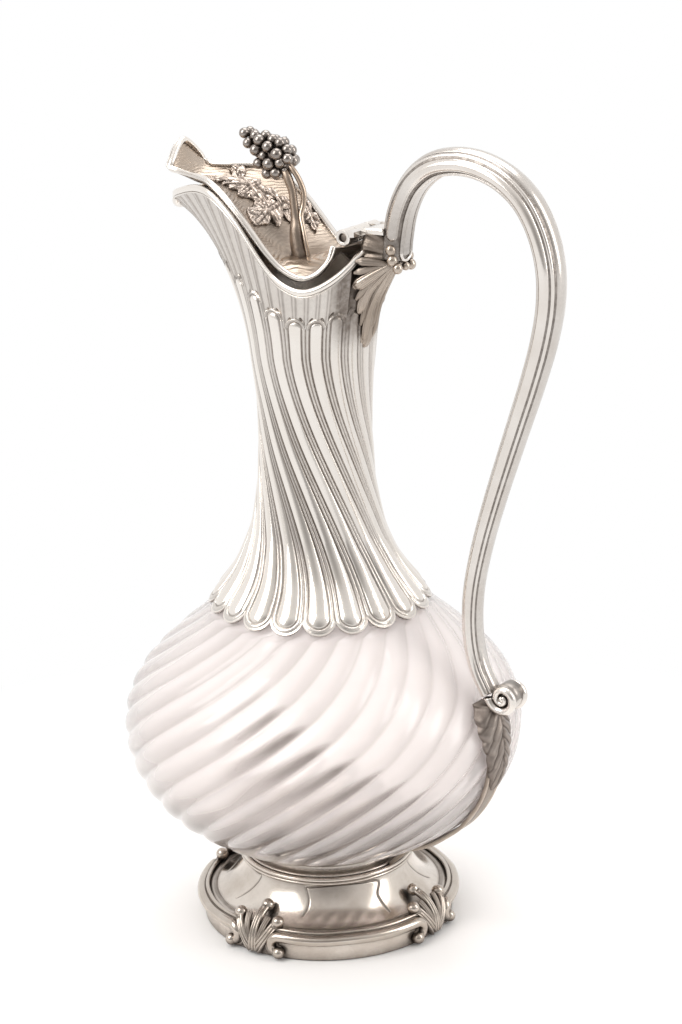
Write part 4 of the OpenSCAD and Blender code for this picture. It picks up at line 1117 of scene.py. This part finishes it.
def vine():
    bld = Build()
    thick = [(0.3, -6.2, 247.3), (-1.2, -5.5, 251.4), (-2.0, -5.0, 255.7), (-2.8, -4.0, 258.9),
             (-3.8, -3.5, 263.9), (-4.8, -3.0, 268.9), (-6.6, -3.0, 273.4), (-8.6, -2.4, 276.0)]
    # painted shade: one side of the stem is dark all along it, less so higher up, and the stem is
    # darker at its base
    shaded_side = (0.5 + 0.5 * np.cos(turns(24) + 2.4)) ** 0.6
    up = np.linspace(0, 1, 90)[:, None]
    bar(bld, thick, [2.9, 2.8, 2.4, 1.75, 1.5, 1.45, 1.6, 1.4], 90, 24,
        0.95 * shaded_side[None] * (1 - 0.45 * up) + 0.45 * ease((0.2 - up) / 0.2))
    thin = [(3.7, -6.4, 247.0), (2.5, -6.0, 252.0), (0.9, -5.0, 256.4), (-0.9, -3.6, 260.6),
            (-0.8, -2.2, 264.2), (-1.0, -1.6, 268.3), (-2.7, -1.6, 272.3), (-5.0, -2.0, 275.9),
            (-7.6, -1.8, 278.2)]
    bar(bld, thin, [0.75, 0.8, 0.85, 0.9, 0.95, 1.0, 1.0, 0.9], 100, 20, 0.12)
    bld.piece("vine_branch", SILVERWARM, ("vine_stem",), body=LID)
    bld = Build()
    grapes = [(-25.8, -1, 286.7, 1.75), (-24.9, 1, 287.0, 1.7), (-24.2, 2.6, 286.0, 1.6),
              (-23.3, -2.5, 283.6, 1.7), (-21.2, -1.0, 286.2, 1.7), (-18.3, -2.8, 285.0, 1.9),
              (-19.3, -3.6, 281.7, 1.95), (-14.0, -3.8, 283.2, 1.9), (-14.0, -0.8, 285.2, 1.8),
              (-10.4, -1.5, 284.4, 1.85), (-9.6, -4.8, 281.1, 2.05), (-18.0, -4.0, 277.2, 1.8),
              (-12.6, -5.4, 277.6, 2.1), (-13.8, -4.9, 274.2, 1.8), (-10.7, -4.3, 274.6, 2.0),
              (-6.2, -3.3, 279.6, 1.8), (-7.3, -1.8, 282.4, 1.75), (-17.8, 0.4, 286.2, 1.75),
              (-16.2, -3.4, 279.9, 1.7), (-8.6, -4.4, 278.2, 1.8), (-21.4, 1.9, 284.6, 1.75),
              (-19.0, 3.5, 283.0, 1.85), (-15.4, 3.0, 284.4, 1.85), (-15.6, 4.4, 280.6, 1.9),
              (-11.4, 2.2, 284.0, 1.85), (-11.6, 4.8, 280.6, 1.95), (-12.6, 4.9, 276.8, 1.95),
              (-16.8, 3.0, 277.6, 1.8), (-8.0, 1.6, 281.6, 1.85), (-8.4, 3.9, 278.0, 1.85),
              (-10.8, 3.4, 274.6, 1.9), (-14.6, 1.2, 274.4, 1.8), (-6.6, 0.6, 278.2, 1.8),
              (-12.4, -1.4, 273.4, 1.8), (-20.6, 0.4, 280.0, 1.8), (-17.2, -0.6, 275.6, 1.8)]
    seats = np.array(grapes)
    for *centre, r in seats:
        bld.ball(centre, r + 0.14, 14, 20)
    # dark tips on every other grape
    for *centre, r in seats[:28:2]:
        d = unit(np.array(centre) - np.array([-12.5, 0, 279.0]))
        bld.ball(centre + d * (r + 0.14) * 0.95, 0.3, 8, 8, oxide_and_shade=0.9)
    core = [(-7.6, -1.2, 277.4), (-12.5, -0.4, 279.0), (-18.0, 0.0, 281.8), (-23.5, 0.0, 285.2)]
    bar(bld, core, [2.6, 3.2, 2.4, 1.2], 30, 18, 1.0)
    # calyx where the stem meets the bunch
    for a in turns(5):
        bld.ball((-7.9 - 0.4 * math.cos(a), -2.2 + 1.5 * math.cos(a), 276.6 + 1.4 * math.sin(a)),
                 0.95, 8, 12, (1.2, 1, 1))
    bld.piece("grapes", GRAPE, ("grape_cluster",), body=LID)


vine()


# ------------------------------------------------------------------ hinge, shelf and bracket
BEAD = np.array([37.3, 0, 249.3])                     # where the shell's rays start


def knuckle(bld, y0, y1, r_in):
    r_out = 2.8
    b = min(0.25, (y1 - y0) / 6)
    prof = [(r_in, y0 + 0.1), (r_in + 0.15, y0), (r_out - b, y0), (r_out, y0 + b), (r_out, y1 - b),
            (r_out - b, y1), (r_in + 0.15, y1), (r_in, y1 - 0.1)]
    oxide_and_shade = np.array([0.8, 0.3, 0, 0, 0, 0, 0.3, 0.8, 0.8])[:, None]
    bld.grid(discs(HINGE_X, HINGE_Z, prof + prof[:1], 48), oxide_and_shade=oxide_and_shade)


def hinge():
    bld = Build()
    tab = [(22.4, 256.4), (23.4, 256.3), (25.1, 256.5), (25.1, 258.2), (23.6, 258.6), (22.0, 258.3)]
    for y0, y1 in ((-10.0, -4.35), (4.35, 10.0)):
        knuckle(bld, y0, y1, 1.52)
        bld.solid([[(x, y, z) for x, z in tab] for y in (y0 + 0.1, y1 - 0.1)], 0.1)
    bld.piece("hinge_barrels", SILVER, ("hinge_knuckles",), angle=35)
    bld = Build()
    prof = [(0.01, -9.3), (1.1, -9.3), (1.5, -9.0), (1.5, 9.0), (1.1, 9.3), (0.01, 9.3)]
    bld.solid(discs(HINGE_X, HINGE_Z, prof, 32), 0.9)
    bld.piece("hinge_rod", CHASED, ("hinge_pin",))
    bld = Build()
    knuckle(bld, -4.0, 4.0, 1.55)
    bld.piece("lid_barrel", SILVER, ("lid_knuckle",), body=LID, angle=35)


hinge()


def bracket():
    """Shell of chased lobes that carries the handle, on the back of the neck and the collar."""
    bld = Build()
    # smooth body behind the lobes: levels as (height, inner x, outer x, half width)
    lev = np.array([(216.5, 21.4, 22.4, 0.9), (219, 21.5, 23.4, 2.4), (223, 21.6, 24.2, 2.8),
                    (228, 21.9, 25.2, 3.4), (233, 22.4, 27.2, 4.2), (238, 23.2, 30.2, 5.2),
                    (243, 24.2, 33.8, 6.2), (247, 25.2, 36.2, 6.2), (250, 26.0, 37.2, 6.2),
                    (253, 26.6, 36.9, 6.2), (256, 27.2, 35.2, 6.0), (257.4, 27.6, 34.4, 5.9)])
    zz = np.linspace(216.5, 257.4, 110)
    xin, xout, w = (at(lev[:, [0, k]], zz)[:, None] for k in (1, 2, 3))
    ph = np.linspace(-math.pi / 2, math.pi / 2, 120)
    x, y, z = np.broadcast_arrays(xin + (xout - xin) * np.cos(ph) ** 1.1, w * np.sin(ph),
                                  zz[:, None])
    # rays run from the beads out to the tips of the lobes
    bx, _, bz = BEAD
    ang = np.degrees(np.arctan2(bz - z, np.abs(y) * 1.15 + 0.55 * (bx - x))) - 90
    grow = np.clip(np.sqrt((x - bx) ** 2 + y ** 2 + (z - bz) ** 2) / 12, 0, 1)
    # 0 on the middle of a lobe or of a fine ray, 1 between two of them
    lobe, fine = (np.abs((ang / step + 0.5) % 1 - 0.5) * 2 for step in (21.5, 5.4))
    h = (1.05 * (1 - lobe ** 2.2) + 0.3 * (1 - fine)) * grow - 0.55
    oxide_and_shade = 0.7 * np.clip((lobe - 0.72) / 0.28, 0, 1) + 0.45 * np.clip((fine - 0.6) / 0.4, 0, 1)
    oxide_and_shade = np.maximum(oxide_and_shade * np.clip(grow, 0.2, 1), 0.6 * ease((z - 246) / 5) + 0.1)
    top = np.stack([x + np.cos(ph) * h, y + np.sin(ph) * h, z], -1)
    back = np.stack([x - 1.5, y * 0.9, z], -1)
    bld.solid(np.concatenate([top, back[:, [-1, 0]]], 1),
              np.concatenate([oxide_and_shade, np.full((len(zz), 2), 0.9)], 1))
    # lobes that lie on the neck beside the shell: tip, width, oxide all over
    lobes = [((26.4, 9.8, 248.6), 1.5, 0.55), ((25.2, 9.6, 244.6), 1.3, 0.35),
             ((24.2, 8.8, 239.6), 2.3, 0.0), ((23.8, 7.2, 235.0), 1.2, 0.3),
             ((23.6, 5.6, 230.2), 2.1, 0.0), ((23.2, 4.2, 225.6), 1.1, 0.3),
             ((23.0, 2.2, 220.2), 1.7, 0.0), ((23.6, 0.7, 223.0), 1.6, 0.1)]
    k, u = np.linspace(-1, 1, 17), np.linspace(0, 1, 30)
    dome, ridge = strand(k, 2.5)
    sec = np.concatenate([np.stack([k, 0.9 * dome + 0.2 * ridge], 1), [(0.7, -0.8), (-0.7, -0.8)]])
    oxide_and_shade = np.concatenate([0.8 * np.clip(1 - ridge / 0.4, 0, 1), [0.9, 0.9]])
    taper = ((0.35 + 0.65 * np.sin(np.clip(u * 1.15, 0, 1) * math.pi / 2))
             * (1 - 0.5 * np.maximum(0, (u - 0.85) / 0.15) ** 2))
    for side in (-1, 1):
        for tip, wid, dull in lobes:
            tip = np.array(tip) * np.array([1, side, 1])
            start = np.array([35.6, side * mix(3.6, 1.6, ease((240 - tip[2]) / 15)), 247.2])
            sink = np.array([-2.3 * ease((241 - tip[2]) / 12), side * 0.1, 0.2])
            path = resample([start, mix(start, tip, 0.55) + sink, tip], len(u))
            sd, up = frames_of(path, unit([0.75, side * 0.65, 0.1]))
            bld.sweep(path, sd, up, sec, wid * taper, np.maximum(oxide_and_shade, dull)[::-1], (0.3, 0.9))
    bld.piece("bracket_shell", SHELL, ("handle_bracket",))
    bld = Build()
    for side in (-1, 1):
        for bx, by, bz, r in ((36.5, 4.9, 252.4, 1.85), (37.0, 4.9, 248.9, 1.9),
                              (38.6, 4.1, 246.2, 1.75)):
            bld.ball((bx, side * by, bz), r, 14, 20, (1, 1, 1.1))
    bld.ball((39.2, 0, 246.4), 1.5, 12, 18)
    bld.piece("bracket_pearls", SHELL, ("bracket_beads",))
    bld = Build()
    prof = [(25.1, 256.4), (25.1, 258.5), (26.0, 259.2), (28.5, 259.4), (31.0, 259.5),
            (33.6, 259.5), (34.3, 258.6), (34.3, 257.4), (28.4, 257.4)]
    # (y, how far the top lies lower there)
    drop = [(0, 0.3), (4.0, 0.3), (5.0, 0.25), (5.2, 0.0), (5.8, 0.12), (6.0, 0.5)]
    drop = [(-y, d) for y, d in drop[:0:-1]] + drop
    bld.solid([[(x, y, z - (d if z > 258 else 0)) for x, z in prof] for y, d in drop])
    bld.piece("shelf", SILVER, ("bracket_shelf",), angle=40)


bracket()


# ------------------------------------------------------------------ strap and lower leaf
def bulb_rz(z, off):
    r0, r1 = at(GLASS_PROFILE, z - 0.5), at(GLASS_PROFILE, z + 0.5)
    t = unit(np.array([r1 - r0, 1.0]))
    return at(GLASS_PROFILE, z) + off * t[1], z - off * t[0]


def strap():
    bld = Build()
    half = 4.5
    k = np.linspace(-1, 1, 21)
    border, line = near(np.abs(k), 0.86, 0.16), near(np.abs(k), 0.62, 0.1)
    height = 1.35 + 0.28 * border - 0.25 * line
    oxk = 0.8 * line + 0.55 * (np.abs(k) < 0.55)
    rows = []
    for z in np.linspace(33.4, 86, 80):
        top = []
        for kk, hh in zip(k, height):
            r, zz = bulb_rz(z, hh)
            top.append((r - 0.0035 * (half * kk) ** 2, half * kk, zz))
        r, zz = bulb_rz(z, 0.1)
        rows.append(top + [(r - 0.05, half, zz), (r - 0.05, -half, zz)])
    bld.solid(rows, np.concatenate([oxk, [0.9, 0.9]]), True)
    foot = [(30.3, 26.2), bulb_rz(33.6, 0.2), bulb_rz(33.6, 1.4), (31.0, 24.9)]
    bld.solid([[(r, y, z) for r, z in foot] for y in (-4.4, 0, 4.4)], 0.5)
    bld.piece("strap", SHELL, ("bulb_strap",), angle=50)


strap()


def acanthus():
    """Leaf that comes from under the scroll and lies on the strap."""
    bld = Build()
    low = 62.5
    z = np.linspace(low, 95.4, 110)[:, None]
    # (height, thickness, half width)
    lev = np.array([(low, 0.5, 0.5), (66, 1.5, 3.0), (70, 2.1, 4.6), (77, 2.7, 6.4), (84, 3.5, 8.0),
                    (90, 5.0, 7.8), (95.4, 6.6, 4.6)])
    th, w = at(lev[:, [0, 1]], z), at(lev[:, [0, 2]], z)
    jag = 0.95 + 0.13 * np.abs(np.sin((z - low) / 5.3 * math.pi))
    ph = np.linspace(-math.pi / 2, math.pi / 2, 61)
    u = np.sin(ph)
    yy = w * jag * u
    base = np.array([bulb_rz(q, 1.5)[0] for q in z[:, 0]])[:, None]
    ang = u * 3.0 + (z - low) * 0.30 * np.sign(u)
    fold = np.abs(np.sin(ang * 1.9 + (z - low) * 0.16))
    streaks = np.abs(np.sin(ang * 5.4 + (z - low) * 0.05))
    mid = bell(yy, 0, 0.55)
    h = th * np.cos(ph) ** 0.7 + 0.85 * (fold - 0.35) * np.cos(ph) ** 0.5 - 0.5 * mid
    oxide_and_shade = np.maximum(np.clip(1.1 - fold / 0.5, 0, 1) + 0.9 * mid, 0.62 * near(streaks, 0, 0.6))
    oxide_and_shade = np.maximum(oxide_and_shade, 0.5 * ease((np.abs(u) - 0.72) / 0.25) + 0.25 * ease((z - 84) / 8))
    top = np.stack([base + h - yy ** 2 / 144, yy, z + 0 * yy], -1)
    back = np.stack([base - 0.6 + 0 * yy, yy, z + 0 * yy], -1)[:, [-1, 0]]
    bld.solid(np.concatenate([top, back], 1),
              np.concatenate([oxide_and_shade, np.full((len(z), 2), 0.9)], 1), True)
    bld.piece("acanthus", ACANTHUS, ("lower_leaf",))


acanthus()

# ------------------------------------------------------------------ stage, light, camera
# The camera stands az round from the side of the jug and el above it, in millimetres and pixels
AZ, EL, ROLL = math.radians(35), math.radians(17.66), math.radians(-1.47)
DISTANCE, FOCAL, PICTURE, SENSOR = 900.0, 2532.28, 1024, 36
AIM, DROP = Vector((8.23, 0, 154.67)), 1.5


def turn_back(v):
    return Matrix.Rotation(AZ, 3, "Z") @ Vector(v)


def camera():
    fw = Vector((0, math.cos(EL), -math.sin(EL)))
    rt = Vector((1, 0, 0))
    up = rt.cross(fw)
    pos = turn_back(AIM - fw * DISTANCE) - Vector((0, 0, DROP))
    c, s = math.cos(ROLL), math.sin(ROLL)
    axes = [turn_back(v) for v in (rt * c + up * s, up * c - rt * s, -fw)]
    data = bpy.data.cameras.new("camera")
    data.lens = FOCAL * SENSOR / PICTURE
    data.sensor_width = SENSOR
    data.sensor_fit = "AUTO"
    data.clip_start, data.clip_end = 0.05, 20
    cam = bpy.data.objects.new("camera", data)
    bpy.context.scene.collection.objects.link(cam)
    cam.matrix_world = Matrix.Translation(pos / 1000) @ Matrix(axes).transposed().to_4x4()
    bpy.context.scene.camera = cam


camera()


def stage():
    m, nt, out = new_material("floor_white")
    L = nt.links.new
    co = source(nt, "TexCoord", "Object")
    length = node(nt, "ShaderNodeVectorMath", operation="LENGTH")
    L(co, length.inputs[0])
    far = ramp(nt, maths(nt, "DIVIDE", length.outputs["Value"], 0.6), [(0.12, 0.0), (0.45, 1.0)])
    diff = node(nt, "ShaderNodeBsdfDiffuse")
    L(ramp(nt, noise(nt, co, Scale=3.0), [(0.0, (0.93, 0.925, 0.92)), (1.0, (0.95, 0.945, 0.94))]),
      diff.inputs["Color"])
    emit = node(nt, "ShaderNodeEmission", Strength=1.0, Color=(1, 1, 1, 1))
    # white far away, for rays that show the floor and not those that light it
    seen = maths(nt, "MAXIMUM", ray(nt, "Camera"),
                 maths(nt, "MAXIMUM", ray(nt, "Glossy"), ray(nt, "Transmission")))
    fac = maths(nt, "MULTIPLY", far, seen)
    L(mix_shader(nt, fac, diff.outputs[0], emit.outputs[0]), out.inputs[0])
    me = bpy.data.meshes.new("floor")
    ring = polar(4, turns(64), -0.0001)
    me.from_pydata(ring.tolist(), [], [list(range(len(ring)))])
    me.materials.append(m)
    ob = bpy.data.objects.new("floor", me)
    bpy.context.scene.collection.objects.link(ob)


stage()


def world():
    w = bpy.data.worlds.new("studio")
    bpy.context.scene.world = w
    w.use_nodes = True
    nt = w.node_tree
    nt.nodes.clear()
    L = nt.links.new
    out = nt.nodes.new("ShaderNodeOutputWorld")
    # the room is darker on the photographer's side, as a studio is
    dot = node(nt, "ShaderNodeVectorMath", operation="DOT_PRODUCT")
    L(source(nt, "TexCoord", "Generated"), dot.inputs[0])
    dot.inputs[1].default_value = (math.sin(AZ) * 0.96, -math.cos(AZ) * 0.96, 0.1)
    room = ramp(nt, maths(nt, "ADD", maths(nt, "MULTIPLY", dot.outputs["Value"], 0.5), 0.5),
                [(0.0, (1.0, 1.0, 1.0)), (0.6, (0.94, 0.93, 0.92)), (0.86, (0.74, 0.73, 0.72)),
                 (0.93, (0.5, 0.49, 0.48)), (1.0, (0.3, 0.29, 0.285))])
    lit, white, gloss = (node(nt, "ShaderNodeBackground", Strength=strength, Color=(*colour, 1))
                         for strength, colour in ((0.72, (1.0, 0.985, 0.97)), (1.0, (1, 1, 1)),
                                                  (1.0, (1, 1, 1))))
    L(room, gloss.inputs["Color"])
    shown = mix_shader(nt, ray(nt, "Glossy"), lit.outputs[0], gloss.outputs[0])
    seen = maths(nt, "MAXIMUM", ray(nt, "Camera"), ray(nt, "Transmission"))
    L(mix_shader(nt, seen, shown, white.outputs[0]), out.inputs[0])


world()


def softbox(name, direction, size, power, colour=(1, 1, 1)):
    distance, aim = 1.1, Vector((0, 0, 0.15))         # the light looks at the jug's middle
    data = bpy.data.lights.new(name, "AREA")
    data.shape = "RECTANGLE"
    data.size, data.size_y = size
    data.energy = power
    data.color = colour
    ob = bpy.data.objects.new(name, data)
    bpy.context.scene.collection.objects.link(ob)
    d = turn_back(Vector(direction).normalized())
    ob.location = aim + d * distance
    ob.rotation_euler = (-d).to_track_quat("-Z", "Y").to_euler()


softbox("key", (-0.75, -0.45, 0.75), (0.6, 0.9), 7.0, (1.0, 0.99, 0.97))
softbox("fill", (0.9, -0.3, 0.45), (0.35, 0.9), 3.5, (1.0, 0.985, 0.96))
softbox("top", (0.1, 0.3, 1.0), (0.8, 0.8), 5.0)

bpy.context.scene.view_settings.view_transform = "Standard"
